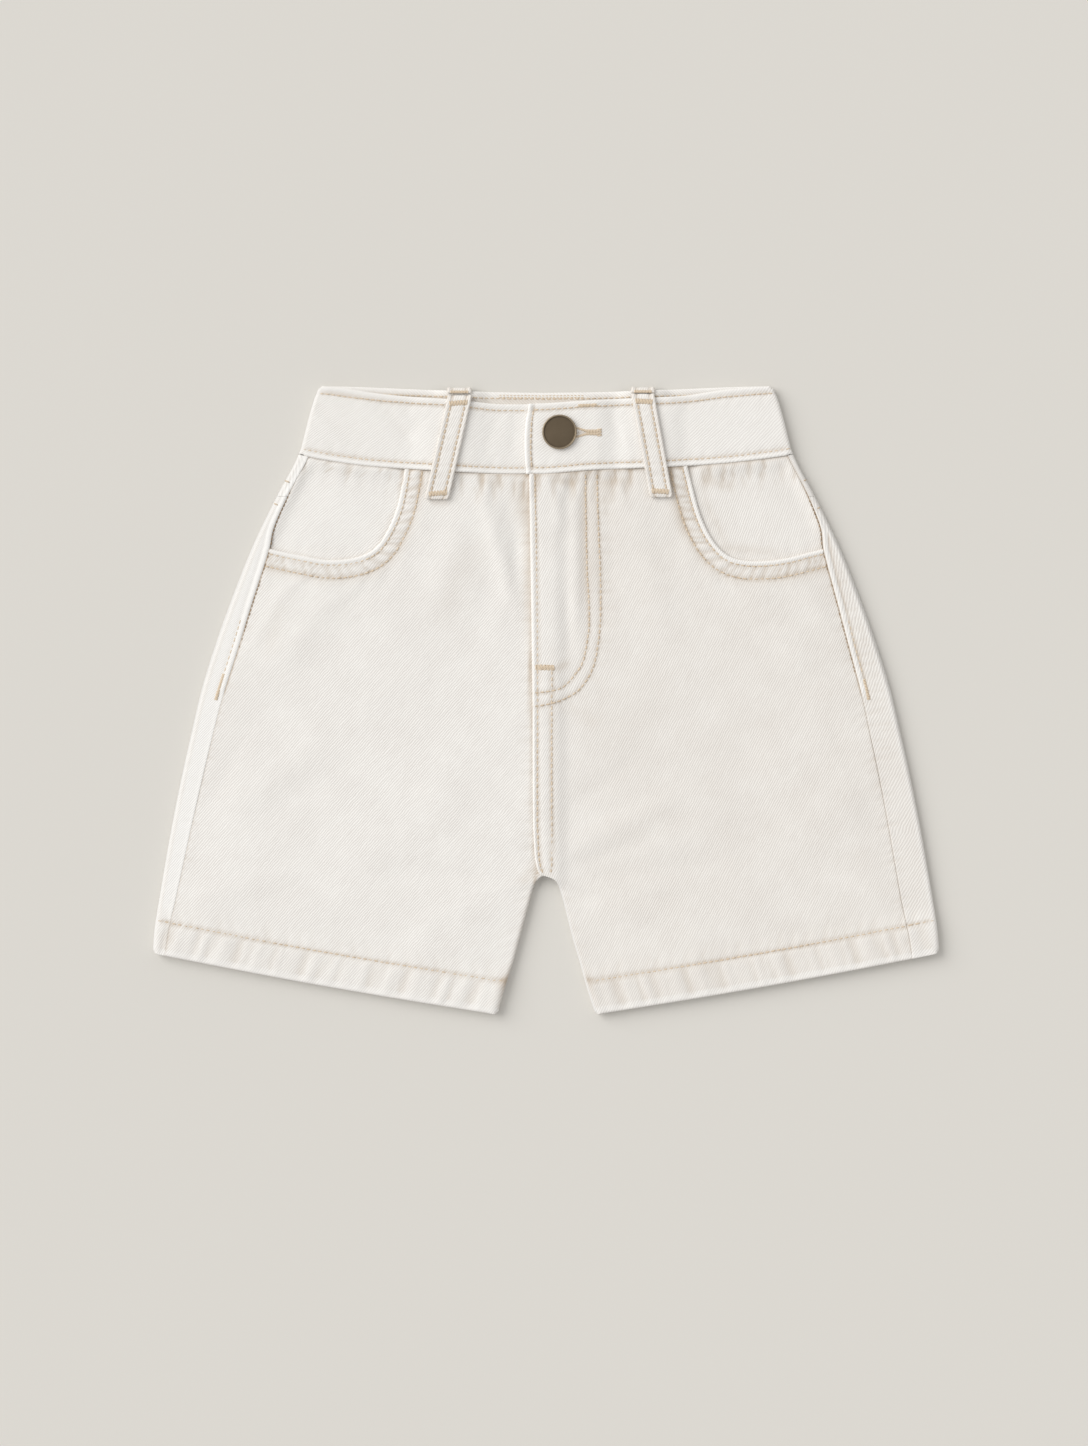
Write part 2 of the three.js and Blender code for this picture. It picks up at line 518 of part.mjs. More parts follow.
// Waistband: one folded strip, from the lap on top, round the back, to the end under the lap
function waistband() {
  const lapHeight = (x) => lerp(TAB_HEIGHT, bandHeight(x), smooth(LAP_FADE_X.from, LAP_FADE_X.to, x));
  const front = (columns, height) => columns.map((x) => ({ x, height: height(x) }));
  const fold = (side, angles) => angles.map((angle) => ({ side, angle }));
  const back = (side) => [20, ...yokeSteps(side).slice(2, -1), ...BAND_COLUMNS.backEnds]
    .map((distance) => ({ x: sign(side) * distance }));
  const stops = [
    ...front(BAND_COLUMNS.lap, () => TAB_HEIGHT), ...front(BAND_COLUMNS.right, lapHeight),
    ...fold('right', [...FOLD_ANGLES].reverse()),
    ...back('right').reverse(), { x: 0 }, ...back('left'),
    ...fold('left', FOLD_ANGLES),
    ...front(BAND_COLUMNS.left, bandHeight), ...front(BAND_COLUMNS.under, () => UNDER_HEIGHT),
  ];
  const foldRadius = BAND_HEIGHT / 2;
  const foldRoom = 6;

  // Outer and inner point of one column at a share of the band's height
  const place = (stop, t) => {
    if (stop.side) {
      const a = THREE.MathUtils.degToRad(stop.angle);
      const y = lerp(WAIST_Y.side + GAP / 2, BAND_TOP, t);
      return [foldRadius, foldRadius - BAND_WALL].map((radius) => [
        foldX(stop.side, y) - sign(stop.side) * (foldRadius - radius * Math.sin(a)), y,
        foldRadius - radius * Math.cos(a),
      ]);
    }
    const onFront = stop.height !== undefined;
    const seam = onFront ? frontSeamY(stop.x) : backSeamY(stop.x);
    const y = lerp(seam + GAP / 2, onFront ? frontTopY(stop.x) : backTopY(stop.x), t);
    const narrowing = (foldX('right', y) - foldRoom) / (foldX('right', WAIST_Y.side) - foldRoom);
    const x = stop.x * lerp(1, narrowing, smooth(80, 110, Math.abs(stop.x)));
    const z = onFront ? stop.height : backRise(x, y);
    return [[x, y, z], [x, y, onFront ? z - BAND_WALL : z + BAND_WALL]];
  };
  const rows = BAND_ROWS.map((t) => stops.map((stop) => place(stop, t)));
  const skin = (side) => rows.map((row) => row.map((pair) => pair[side]));
  const strip = toSolid(shell(skin(0), skin(1)));
  const boreLength = 5;
  const bore = new THREE.CylinderGeometry(BUTTON.hole, BUTTON.hole, boreLength, 20);
  bore.rotateX(Math.PI / 2).translate(BUTTON.x, BUTTON.y, UNDER_HEIGHT + (GAP + boreLength) / 2);
  return toGeometry(strip.subtract(toSolid(bore)));
}

// Pocket facing: the corner of the leg behind a pocket mouth, one layer lower than the front
function pocketFacing(side) {
  const lower = toSolid(frontPanel(side, STEP));
  return toGeometry(lower.intersect(prism(pocketOutline(side, POCKET_UNDER))));
}

function front(side) {
  return toGeometry(toSolid(frontPanel(side)).subtract(prism(pocketOutline(side, 0))));
}

// Ribbon of even thickness along a path of [y, z] points, with x worked out from y
function ribbon(path, width, centreX, wall) {
  const outer = [];
  const inner = [];
  path.forEach(([y, z], i) => {
    const [ya, za] = path[Math.max(0, i - 1)];
    const [yb, zb] = path[Math.min(path.length - 1, i + 1)];
    const length = Math.hypot(yb - ya, zb - za);
    const [ny, nz] = [-(zb - za) / length, (yb - ya) / length];
    const across = [-0.5, -0.4, 0, 0.4, 0.5].map((t) => centreX(y) + t * width);
    outer.push(across.map((x) => [x, y + ny * wall, z + nz * wall]));
    inner.push(across.map((x) => [x, y, z]));
  });
  return shell(outer, inner);
}

// Belt loop on the front: lies on the leg and the band, and turns over the band's top edge
function frontLoop(side) {
  const { top, foot, width } = LOOPS[side];
  const centreX = (y) => lerp(foot.x, top.x, (y - foot.y) / (top.y - foot.y));
  const band = bandHeight(centreX(145)) + GAP;
  const seam = frontSeamY(centreX(126));
  const leg = frontHeight(foot.x, foot.y) + GAP + LOOP_LIFT;
  const edge = Math.max(frontTopY(top.x - width / 2), frontTopY(top.x + width / 2)) + GAP;
  const path = [
    [foot.y, leg], [foot.y + LOOP_BENDS.foot, leg],
    [seam - LOOP_BENDS.belowSeam, lerp(leg, band, 0.45)], [seam - LOOP_BENDS.atSeam, band],
    [seam + LOOP_BENDS.aboveSeam, band], ...LOOP_LEVELS.map((y) => [y, band]),
    [edge - LOOP_BENDS.belowEdge, band], [edge - LOOP_BENDS.atEdge, band],
    [edge, band - LOOP_BENDS.atEdge], [edge, band - BAND_WALL],
  ];
  return ribbon(path, width, centreX, LOOP_WALL);
}

// Belt loop on the back: lies flat on the floor and turns over the band's edge to the inside
function backLoop(side) {
  const { x, width } = BACK_LOOPS[side];
  const edge = backTopY(x) + GAP;
  const inside = LOOP_RISE + BAND_WALL + GAP;
  const turn = 0.4;
  const path = [
    ...[BACK_LOOP_FOOT, ...BACK_LOOP_LEVELS, edge - 2, edge - 0.3].map((y) => [y, LOOP_WALL]),
    [edge, LOOP_WALL + turn], [edge, inside - turn], [edge - turn, inside], [edge - BACK_LOOP_LIP, inside],
  ].reverse();
  return ribbon(path, width, () => x, LOOP_WALL);
}

// Button: a low dished cap with a rolled rim, and the shank that goes through the band
function buttonGeometry() {
  const seat = TAB_HEIGHT + GAP;
  const under = UNDER_HEIGHT + GAP;
  const profile = [
    [0, under], [BUTTON.shank, under], [BUTTON.shank, seat],
    ...BUTTON_PROFILE.map(([inset, up]) => [BUTTON.radius - inset, seat + up]),
  ].map(([r, z]) => new THREE.Vector2(r, z));
  const geometry = new THREE.LatheGeometry(profile, 24);
  geometry.rotateX(Math.PI / 2);
  return geometry.translate(BUTTON.x, BUTTON.y, 0);
}

function cloth(color) {
  return new THREE.MeshStandardMaterial({ color, roughness: 0.9, metalness: 0 });
}

const shorts = new THREE.Group();

function add(name, geometry, material) {
  const bare = geometry.clone();
  for (const attribute of ['normal', 'uv']) bare.deleteAttribute(attribute);
  const mesh = new THREE.Mesh(mergeVertices(bare, 1e-3), material);
  mesh.name = name;
  shorts.add(mesh);
}

const denim = cloth(COLOUR.denim);
const inside = cloth(COLOUR.denimInside);
const metal = new THREE.MeshStandardMaterial({ color: COLOUR.button, roughness: 0.4, metalness: 0.8 });

for (const side of ['left', 'right']) {
  add(`front_${side}`, front(side), denim);
  add(`pocket_facing_${side}`, pocketFacing(side), denim);
  add(`back_${side}`, backPanel(side, BACK_TOP, BACK_HEM, BACK_ROWS, BACK_STEPS), denim);
  add(`back_yoke_${side}`, backPanel(side, YOKE_TOP, YOKE_FOOT, YOKE_ROWS, yokeSteps(side)), denim);
  add(`belt_loop_front_${side}`, frontLoop(side), denim);
  add(`belt_loop_back_${side}`, backLoop(side), inside);
}
add('waistband', waistband(), denim);
add('button', buttonGeometry(), metal);

export default shorts;
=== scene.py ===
"""A child's cream denim shorts, buttoned and laid flat on a pale floor with the front up.

Sizes are in millimetres until a mesh is made. +X is the picture's right, +Y runs from the hems to
the waistband and +Z is up. Every piece of cloth is a thin closed shell whose outer points lie on a
height worked out from the place on the garment: the flat form, then soft creases, then what each
seam does to the cloth beside it.
"""
import math

import bpy
import numpy as np
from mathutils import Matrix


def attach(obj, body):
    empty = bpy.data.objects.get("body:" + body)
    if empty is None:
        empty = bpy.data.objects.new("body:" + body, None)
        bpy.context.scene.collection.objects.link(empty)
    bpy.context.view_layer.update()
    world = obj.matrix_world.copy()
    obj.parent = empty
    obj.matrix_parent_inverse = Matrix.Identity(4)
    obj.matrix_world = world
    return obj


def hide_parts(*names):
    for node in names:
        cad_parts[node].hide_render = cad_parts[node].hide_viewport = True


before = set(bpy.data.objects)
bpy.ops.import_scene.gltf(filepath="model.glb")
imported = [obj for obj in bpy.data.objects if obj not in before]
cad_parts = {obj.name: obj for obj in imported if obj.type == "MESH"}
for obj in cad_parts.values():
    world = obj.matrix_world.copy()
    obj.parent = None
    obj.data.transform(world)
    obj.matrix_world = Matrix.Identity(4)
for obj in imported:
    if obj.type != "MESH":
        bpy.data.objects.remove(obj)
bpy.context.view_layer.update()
MM = 0.001
SIDES = "left", "right"

# Cloth
WALL = 1.2
BAND_WALL = 2.2
HEM_WALL = 2.3
LOOP_WALL = 1.6
GAP = 0.3
STEP = WALL + GAP

# Heights of the flat garment, and the least height of a fold's skin over its middle
FLAT = 4.8
FLAT_HEM = 5.9
PUFF = 0.6
LOOP_RISE = LOOP_WALL + GAP
FOLD_LEAST = 0.15

# Lengths along the legs
HEM_DEPTH = 18
HEM_OUTER, HEM_INNER, HEM_BOW = -139.0, -172.6, 1.2
HEM_CORNER = 27.0, 216.0
CROTCH_Y = -96.0
WAIST_SIDE, WAIST_BACK = 134.9, 130.2
YOKE_SIDE, YOKE_BACK, YOKE_HALF = 113.0, 84.0, 147
BAND_TOP = 172.5
BAND_DEPTH = 38.0

# Silhouette of the outer folds: height, half the width
SIDE = [
    (172.5, 124.6), (165, 127.4), (154, 130.6), (134.9, 135.9), (113.4, 147.2), (87, 160.1),
    (60.6, 170.8), (34.2, 180.4), (7.8, 188.7), (-18.6, 195), (-45, 200.8), (-71.4, 206),
    (-97.8, 210.6), (-124.2, 214.8), (-139, 216),
]

# Distance from the outer fold to the side seam: height, left leg, right leg
SIDE_SEAM = [
    (134.9, 5.5, 3.2), (112, 5.5, 3.4), (96, 6.3, 5), (84, 9.2, 9), (55, 11.2, 12.6),
    (28, 12.4, 14.9), (-12, 11.6, 16.2), (-60, 10.7, 16.8), (-106, 9, 17.1), (-141, 6.8, 14.8),
]

# Waistband on the front: distance from the centre, seam left and right, top edge left and right
BAND_FRONT = [
    (0, 124, 124, 162.9, 162.9), (25, 124.1, 126.2, 162.5, 164.6), (50, 125.3, 127.2, 165, 165.8),
    (75, 126.8, 128.4, 166.6, 167), (100, 128.8, 130.2, 168.8, 170),
    (124, 132.4, 133.1, 171.8, 171.9), (136, 134.9, 134.9, 172.5, 172.5),
]

# Waistband on the back: distance from the centre, seam, top edge
BAND_BACK = [
    (0, 130.2, 169), (30, 130.5, 169.4), (60, 131.4, 170.4), (95, 133, 171.7),
    (124, 134.5, 172.5), (136, 134.9, 172.5),
]

# Inside-leg edges below the crotch, shared by fronts and backs: height, left leg, right leg
LEG_EDGE = [
    (-97.8, -3.9, 3.2), (-99.2, -5.3, 5.2), (-102, -6.7, 6.9), (-109.9, -8.9, 9.3), (-131.9, -14.9, 14.9),
    (-142.9, -17.8, 18.2), (-159.4, -23.1, 22.8), (-172.6, -26.6, 27.2),
]

# Inner edges from the waist down. The fronts lap at the centre, the backs meet there.
FRONT_EDGE = [
    (125, 3, -9.4), (60, 3, -8.3), (0, 2.8, -7.5), (-66, 2.6, -7.1), (-84, 2.4, -6.3),
    (-91, 1.9, -5.3), (-94.4, 1, -4.2), (-96, -0.6, -2.7), (-96.9, -2.4, 0.6), *LEG_EDGE,
]
BACK_EDGE = [(135, -0.15, 0.15), (-90, -0.15, 0.15), (-95.6, -0.6, 0.4), (-96.9, -2.4, 0.9), *LEG_EDGE]

# Pocket mouths, from the waist seam to the side seam. The knee is the point that ends the steep part.
POCKET = {
    "left": [(-77.6, 127.4), (-79.8, 115.1), (-82.1, 105.2), (-86.7, 94), (-92.6, 84.8), (-99.7, 80),
             (-109.5, 77.5), (-120.7, 77.1), (-131.2, 78.9), (-141.7, 81), (-152.4, 83.5)],
    "right": [(77.9, 128.1), (81.4, 113.8), (85.6, 99.9), (91.9, 87.6), (99.6, 79.9),
              (108.8, 76.8), (121.2, 76.6), (132.7, 78.2), (142.8, 80.8), (152.8, 83.4)],
}
POCKET_KNEE = {"left": 5, "right": 4}
POCKET_UNDER = 11

# Fly stitching on the lap: the two rows of the curve
FLY_INNER = [
    (21.7, 124), (22, 99.1), (22.6, 71.9), (23.8, 49.1), (23.1, 35.3), (20.4, 21.6), (15.7, 13.6),
    (9.4, 7.3), (2.2, 4.9), (-6.6, 4),
]
FLY_OUTER = [
    (28, 124), (28.7, 99.1), (29.4, 81), (30.1, 58.2), (29.6, 40), (27.6, 24.5), (24, 13.6),
    (17.6, 5.3), (8.5, -0.1), (0.2, -2.4), (-6.6, -3.3),
]

# Soft creases: two ends, width, height. The first ones are the solids' own.
FOLDS = [
    (15.5, 119, 16.5, 36, 4.5, 0.9), (-14, 112, -13, 20, 5, -0.5), (6, 118, 9, 92, 4, 0.6),
    (-12, -84, -70, -48, 7, 0.7), (12, -82, 74, -52, 7, 0.6), (-16, -100, -92, -92, 8, -0.5),
    (17, -98, 96, -88, 8, -0.5), (-40, 112, -64, 44, 9, 0.5), (48, 110, 66, 30, 9, 0.5),
    (-112, 58, -150, 18, 9, 0.6), (108, 60, 146, 14, 9, 0.6), (-120, -20, -176, -64, 10, 0.5),
    (118, -30, 172, -70, 10, 0.5), (-60, -118, -76, -150, 9, 0.4), (70, -112, 92, -146, 9, 0.4),
]
FINE_FOLDS = [
    (-16, 96, -20, 34, 3.2, -0.28), (-22, 118, -31, 84, 4, 0.22), (-30, 70, -46, 8, 6, -0.2),
    (-14, -60, -50, -22, 5, -0.3), (-13, -90, -58, -70, 4.5, -0.35), (-20, -112, -66, -118, 6, 0.25),
    (-88, 66, -128, 40, 5, -0.25), (-140, 66, -168, 20, 4, 0.25), (-158, -6, -186, -60, 5, -0.25),
    (-96, -30, -150, -58, 7, -0.2), (-64, 20, -110, -14, 8, 0.2), (-130, -92, -196, -110, 6, 0.22),
    (33, 112, 37, 60, 4, -0.3), (11, 60, 13, 24, 2.6, -0.3), (12, -60, 52, -30, 5, -0.3),
    (12, -92, 62, -74, 4.5, -0.35), (20, -114, 70, -116, 6, 0.25), (90, 66, 130, 38, 5, -0.25),
    (142, 64, 166, 20, 4, 0.25), (156, -10, 182, -66, 5, -0.25), (98, -26, 150, -60, 7, -0.2),
    (60, 24, 108, -12, 8, 0.2), (128, -96, 190, -110, 6, 0.22), (70, 120, 66, 96, 5, 0.25),
    (-70, 118, -66, 92, 5, 0.25), (40, 122, 44, 104, 3, 0.25), (-33, 122, -35, 106, 3, 0.22),
    (-37, 119, -14, 41, 4.6, 0.85), (-24, 121, -14, 68, 4, -0.5), (-47, 104, -28, 48, 6, -0.25),
    (5, 122, 8, 112, 1.6, -0.4), (12, 122, 13, 113, 1.6, -0.35), (8.5, 121, 10.5, 114, 1.5, 0.3),
    (20, 120, 21, 44, 2, -0.35), (26, 122, 27, 108, 1.8, -0.3), (-120, 128, -112, 112, 2.4, -0.3),
    (-112, 127, -104, 112, 2.4, 0.25), (108, 126, 100, 112, 2.6, -0.25),
]
BAND_FOLDS = [
    (34, 161, 41, 140, 2.4, -0.3), (45, 160, 49, 134, 2.2, -0.22), (39.5, 160, 45, 138, 2.2, 0.25),
    (-27, 158, -33, 136, 2.6, -0.3), (-21, 160, -24, 138, 2.4, 0.2), (-16, 152, -19, 132, 2, -0.22),
    (-62, 158, -76, 146, 3, -0.3), (-90, 164, -74, 143, 3, -0.25), (-112, 160, -96, 138, 3.4, -0.25),
    (23, 139, 32, 131, 2.2, -0.2), (-2, 140, 2, 131, 2, -0.15), (72, 158, 78, 138, 3, -0.15),
]

# Warm tan patches, mostly painted shade beside the fly and lap, under the band and at the crotch, with some
# dirt from rubbing: two ends, width, strength
SHADE_AND_DIRT_PATCHES = [
    (-11.6, 122, -9.8, 30, 2.2, 0.26), (-15, 122, -12, 96, 4.5, 0.22), (20.3, 120, 20.6, 52, 2.2, 0.2),
    (3, 121.5, 17, 118.5, 2.6, 0.34), (31, 122, 33, 100, 2.4, 0.14), (-128, 128, -100, 124, 2.6, 0.2),
    (-5, -90, -14, -101, 3, 0.2), (-5, -93, -6.4, -102, 1.1, 0.7), (5, 16.5, 13, 21, 2, 0.3),
    (-64, 109, -52, 108, 2.2, 0.2),
    (-37, 121, -22, 119, 3, 0.2), (33, 121, 47, 119, 3, 0.2), (-38, 88, -60, 40, 9, 0.07),
    (-8.6, 26, -8.3, -14, 0.9, 0.55), (25, 123, 26, 60, 2.4, 0.16), (33, 122, 37, 108, 2.4, 0.16),
    (-84, 118, -100, 84, 2.4, 0.2), (-104, 82, -140, 84, 2.2, 0.18), (86, 112, 100, 84, 2.2, 0.16),
    (104, 117, 84, 122, 3, 0.2), (95, 84, 128, 81, 2.4, 0.2), (-96, 86, -84, 104, 2, 0.16),
    (10, -2, 30, -14, 4, 0.08), (70, 112, 77, 90, 3, 0.14), (-146, 52, -152, 24, 4, 0.08),
]

# The lap's end bows outwards: height, place of the edge
LAP_EDGE = [(120, -10.4), (137, -11.8), (151, -11.3), (161.5, -9.6), (166, -9.2)]

# Belt loops
LOOPS = {
    "left": {"top": (-47.9, 163.4), "foot": (-60, 110.1), "width": 13.3},
    "right": {"top": (53.4, 165.5), "foot": (63.3, 111.2), "width": 12.7},
}
BACK_LOOPS = {"left": (-47.6, 13.2), "right": (53.2, 12.8)}
BACK_LOOP_FOOT = 116
BACK_LOOP_LIP = 1.8

# Centre front of the waistband
TAB_X = -10.2
UNDER_X = 24
TAB_HEIGHT = 7.5
UNDER_HEIGHT = 5.0
LAP_ROW = 3.3
BUTTON_X, BUTTON_Y, BUTTON_RADIUS, SHANK_RADIUS = 7.4, 147.0, 9.5, 2.6
SLOT_Y = 146.8

# Sewing
YOKE_ENDS = {
    "left": [(-144, 120.8, -140.4, 119.4), (-149.6, 108.2, -146.8, 106.9)],
    "right": [(143.8, 121.4, 141, 120.2), (151, 106.2, 148.6, 105)],
}
STITCH_PITCH = 3.1
STITCH_LENGTH = 2.35
STITCH_WIDTH = 0.75
TACK_PITCH = 0.78

# Distances of the rows of stitches from the edge or seam that they follow, and where the band's rows end
POCKET_ROWS = 3, 10
HEM_ROW = HEM_DEPTH + 0.7
SEAT_ROWS = 3.6, 8.6
YOKE_ROWS = 3.3, 8.3
BAND_ROW, BAND_TOP_ROW, BAND_GROOVE = 3.45, 3.5, 3.3
BAND_ROW_END, BAND_TOP_ROW_END = 134.4, 124.8
HEM_ROW_START = 23.5
LOOP_ROW = 2.8

# Spacing of the points on the fronts, facings, backs, yokes and band, and of those beside a rounded edge
FRONT_SPACING, FACING_SPACING, BACK_SPACING, YOKE_SPACING, BAND_SPACING = 1.65, 2.0, 1.8, 1.6, 1.7
EDGE_STOPS = np.array([0.0, 0.12, 0.3, 0.6, 1.0, 1.6, 2.3])
BAND_END_STOPS = np.array([0, 0.12, 0.3, 0.6, 1.0, 1.6, 2.4, 3.2])
LOOP_EDGE_STOPS = np.array([0, 0.1, 0.3, 0.6, 1.0, 1.6, 2.2, 2.8, 3.4, 4.2])
BACK_EDGE_STOPS = np.array([
    0.0, 0.05, 0.15, 0.35, 0.7, 1.2, 1.9, 2.7, 3.1, 3.45, 3.85, 4.5, 6.0, 7.5, 8.1, 8.45, 8.85, 9.5, 10.6])
WRAP_STOPS = np.array([[0.1, 0.25, 0.4, 0.52, 0.64, 0.74, 0.83, 0.9, 0.95, 0.98, 1.0]])
FOLD_ANGLES = np.radians([[8, 25, 42, 60, 76, 90, 104, 120, 138, 155, 172]])
BAND_FOLD_ANGLES = np.radians(np.linspace(8, 172, 13))[None]

# Height at which a front's upper patch of points meets its lower one
BELT_Y = 78.0

# Power of the rounded folds' profile: 2 is a circle, and a pressed fold is squarer
FOLD_POWER = 3.0

# Tints, where 1 is the tan of painted shade with some dirt from rubbing and less than 0 is painted light:
# painted shade on the right front, painted light on the band and left facing, and on the strip that the
# back wraps over each front, painted light on the left one and painted shade on the right one
RIGHT_LEG_SHADE = 0.11
PAINTED_LIGHT = -0.2
WRAP_PAINTED_LIGHT = {"left": -0.85, "right": 0.1}

# How strong the painted shade is on the outer folds and inside-leg edges that face left and right: it darkens
# the sides that face the light
PAINTED_FOLD_SHADE = {"left": 0.95, "right": 0.0}

# Direction of the diagonal wale on each piece, in degrees from +X
WALE = {
    "front_left": 48, "front_right": 63, "pocket_facing_left": 43, "pocket_facing_right": 70,
    "back_left": 118, "back_right": 132, "back_yoke_left": 40, "back_yoke_right": 66, "waistband": 42,
}
LOOP_WALE = 62

# Colours of the denim: ridges, hollows, the tan of painted shade with some dirt, the painted highlight, and
# the painted shade of folds that face the light
CREAM, SHADE, SHADE_AND_DIRT_TAN = (0.944, 0.932, 0.905), (0.72, 0.685, 0.655), (0.52, 0.425, 0.325)
PAINTED_HIGHLIGHT, FOLD_SHADE_COLOUR = (0.932, 0.926, 0.912), (0.752, 0.744, 0.732)

# Camera and light
PHOTO_HEIGHT, PHOTO_PIXEL = 1446, 0.55
VIEW_CENTRE = -2, -22.75
CAMERA_HEIGHT = 2.4
SENSOR = 36
SUN_FROM = -1.9, 1.0, 1.55
FLOOR_HALF, FLOOR_DROP = 3.0, 0.0001


# Numbers, tables and curves

def mix(a, b, t):
    """Straight blend: a + (b - a) t."""
    return a + (b - a) * t


def ease(a, b, t):
    """Smooth step from 0 at a to 1 at b: with s the share between them, s squared times (3 - 2 s)."""
    s = np.clip((t - a) / (b - a), 0, 1)
    return s * s * (3 - 2 * s)


def fade(a, b, t):
    """Smooth step down from 1 at a to 0 at b."""
    return 1 - ease(a, b, t)


def window(a, b, c, d, t):
    """Smooth step up from a to b, times a smooth step down from c to d."""
    return ease(a, b, t) * fade(c, d, t)


def bell(distance, width):
    """Bell curve: e to the power of minus the square of distance over width."""
    return np.exp(-((distance / width) ** 2))


def hollows(wave):
    """Depth of a wave below zero, up to 1."""
    return np.clip(-wave, 0, 1)


def sign(side):
    """-1 on the left of the picture and 1 on the right."""
    return -1 if side == "left" else 1


def column(side):
    """The column of a side in a table with one for each."""
    return 1 if side == "left" else 2


def read(table, column, at):
    """Cubic through a table's rows at positions in its first column, kept between each pair of rows."""
    rows = np.array(sorted(table), float)
    x, y = rows[:, 0], rows[:, column]
    slope = np.gradient(y)
    slope[1:-1] = (y[2:] - y[:-2]) / (x[2:] - x[:-2])
    slope[0], slope[-1] = (y[1] - y[0]) / (x[1] - x[0]), (y[-1] - y[-2]) / (x[-1] - x[-2])
    at = np.clip(at, x[0], x[-1])
    i = np.clip(np.searchsorted(x, at, side="right") - 1, 0, len(x) - 2)
    span = x[i + 1] - x[i]
    t = (at - x[i]) / span
    low, high = y[i], y[i + 1]
    value = (
        (2 * t**3 - 3 * t**2 + 1) * low + (t**3 - 2 * t**2 + t) * slope[i] * span
        + (3 * t**2 - 2 * t**3) * high + (t**3 - t**2) * slope[i + 1] * span
    )
    return np.clip(value, np.minimum(low, high), np.maximum(low, high))


def line(x, y):
    """Plan points (n, 2) from x and y, each an array or one number."""
    return np.stack(np.broadcast_arrays(x, y), axis=1)


def lengths(points):
    """Length along a polyline at each of its points."""
    return np.concatenate([[0], np.cumsum(np.linalg.norm(np.diff(points, axis=0), axis=1))])


def resample(points, shares):
    """Points on a polyline at the given shares of its length."""
    points = np.asarray(points, float)
    length = lengths(points)
    at = np.asarray(shares) * length[-1]
    return np.stack([np.interp(at, length, points[:, k]) for k in range(points.shape[1])], axis=1)


def rounded(points, steps=12):
    """Smooth curve through listed points: a Catmull-Rom spline, then even spacing."""
    p = np.asarray(points, float)
    p = np.vstack([2 * p[0] - p[1], p, 2 * p[-1] - p[-2]])
    t = np.linspace(0, 1, steps, endpoint=False)[:, None]
    runs = []
    for a, b, c, d in zip(p[:-3], p[1:-2], p[2:-1], p[3:]):
        runs.append(0.5 * (2 * b + (c - a) * t + (2 * a - 5 * b + 4 * c - d) * t**2
                           + (3 * b - a - 3 * c + d) * t**3))
    curve = np.vstack([*runs, p[-2]])
    return resample(curve, np.linspace(0, 1, len(curve)))


def beside(path, x, y):
    """Distance along a path and signed distance from it (positive on its left) of each point."""
    a, b = path[:-1], path[1:]
    run = b - a
    length = np.linalg.norm(run, axis=1)
    start = lengths(path)[:-1]
    px, py = np.ravel(x)[:, None], np.ravel(y)[:, None]
    t = np.clip(((px - a[:, 0]) * run[:, 0] + (py - a[:, 1]) * run[:, 1]) / length**2, 0, 1)
    dx, dy = px - (a[:, 0] + t * run[:, 0]), py - (a[:, 1] + t * run[:, 1])
    distance = np.hypot(dx, dy)
    i = distance.argmin(axis=1)
    rows = np.arange(len(i))
    side = np.sign(run[i, 0] * dy[rows, i] - run[i, 1] * dx[rows, i])
    along = start[i] + t[rows, i] * length[i]
    shape = np.shape(x)
    return along.reshape(shape), (distance[rows, i] * np.where(side == 0, 1, side)).reshape(shape)


def offset(path, distance):
    """A path moved sideways, to its left where the distance is positive."""
    run = np.gradient(path, axis=0)
    run /= np.linalg.norm(run, axis=1)[:, None]
    return path + distance * line(-run[:, 1], run[:, 0])


def pucker(along, wavelength, seed=0.0):
    """Uneven wave along a seam: a sine whose phase and strength drift."""
    phase = 2 * np.pi * along / wavelength
    drift = 1.4 * np.sin(phase / 4.7 + seed) + 0.8 * np.sin(phase / 2.3 + 2.1 * seed)
    return np.sin(phase + drift) * (0.72 + 0.28 * np.sin(phase / 3.1 + 1.7 * seed))


def unevenness(x, y):
    """Very soft swelling of laid cloth: a few long waves in several directions."""
    waves = [(0.051, 0.018, 0.3, 0.10), (-0.029, 0.047, 1.9, 0.10), (0.083, -0.061, 4.0, 0.06),
             (0.022, 0.105, 2.2, 0.05), (0.131, 0.043, 5.1, 0.04), (-0.11, 0.12, 0.8, 0.035)]
    return sum(size * np.sin(kx * x + ky * y + phase) for kx, ky, phase, size in waves)


# The garment's outline and flat heights, as the solids have them

def half_width(y):
    """Distance of the outer folds from the centre, from the silhouette's table."""
    return read(SIDE, 1, y)


def fold_x(side, y):
    """Plan x of a side's outer fold."""
    return sign(side) * half_width(y)


def edge_x(table, side, y):
    """Plan x of a side's inner edge, from the fronts' or the backs' table."""
    return read(table, column(side), y)


def front_seam_y(x):
    """Height of the waist seam on the front, from the band's table at the distance from the centre."""
    return np.where(x < 0, read(BAND_FRONT, 1, np.abs(x)), read(BAND_FRONT, 2, np.abs(x)))


def front_top_y(x):
    """Height of the band's top edge on the front, read in the same way."""
    return np.where(x < 0, read(BAND_FRONT, 3, np.abs(x)), read(BAND_FRONT, 4, np.abs(x)))


def back_seam_y(x):
    """Height of the waist seam on the back."""
    return read(BAND_BACK, 1, np.abs(x))


def back_top_y(x):
    """Height of the band's top edge on the back."""
    return read(BAND_BACK, 2, np.abs(x))


def yoke_seam(x):
    """Height of the yoke seam: a straight line from the centre back up to the side."""
    return mix(YOKE_BACK, YOKE_SIDE, np.clip(np.abs(x) / YOKE_HALF, 0, 1))


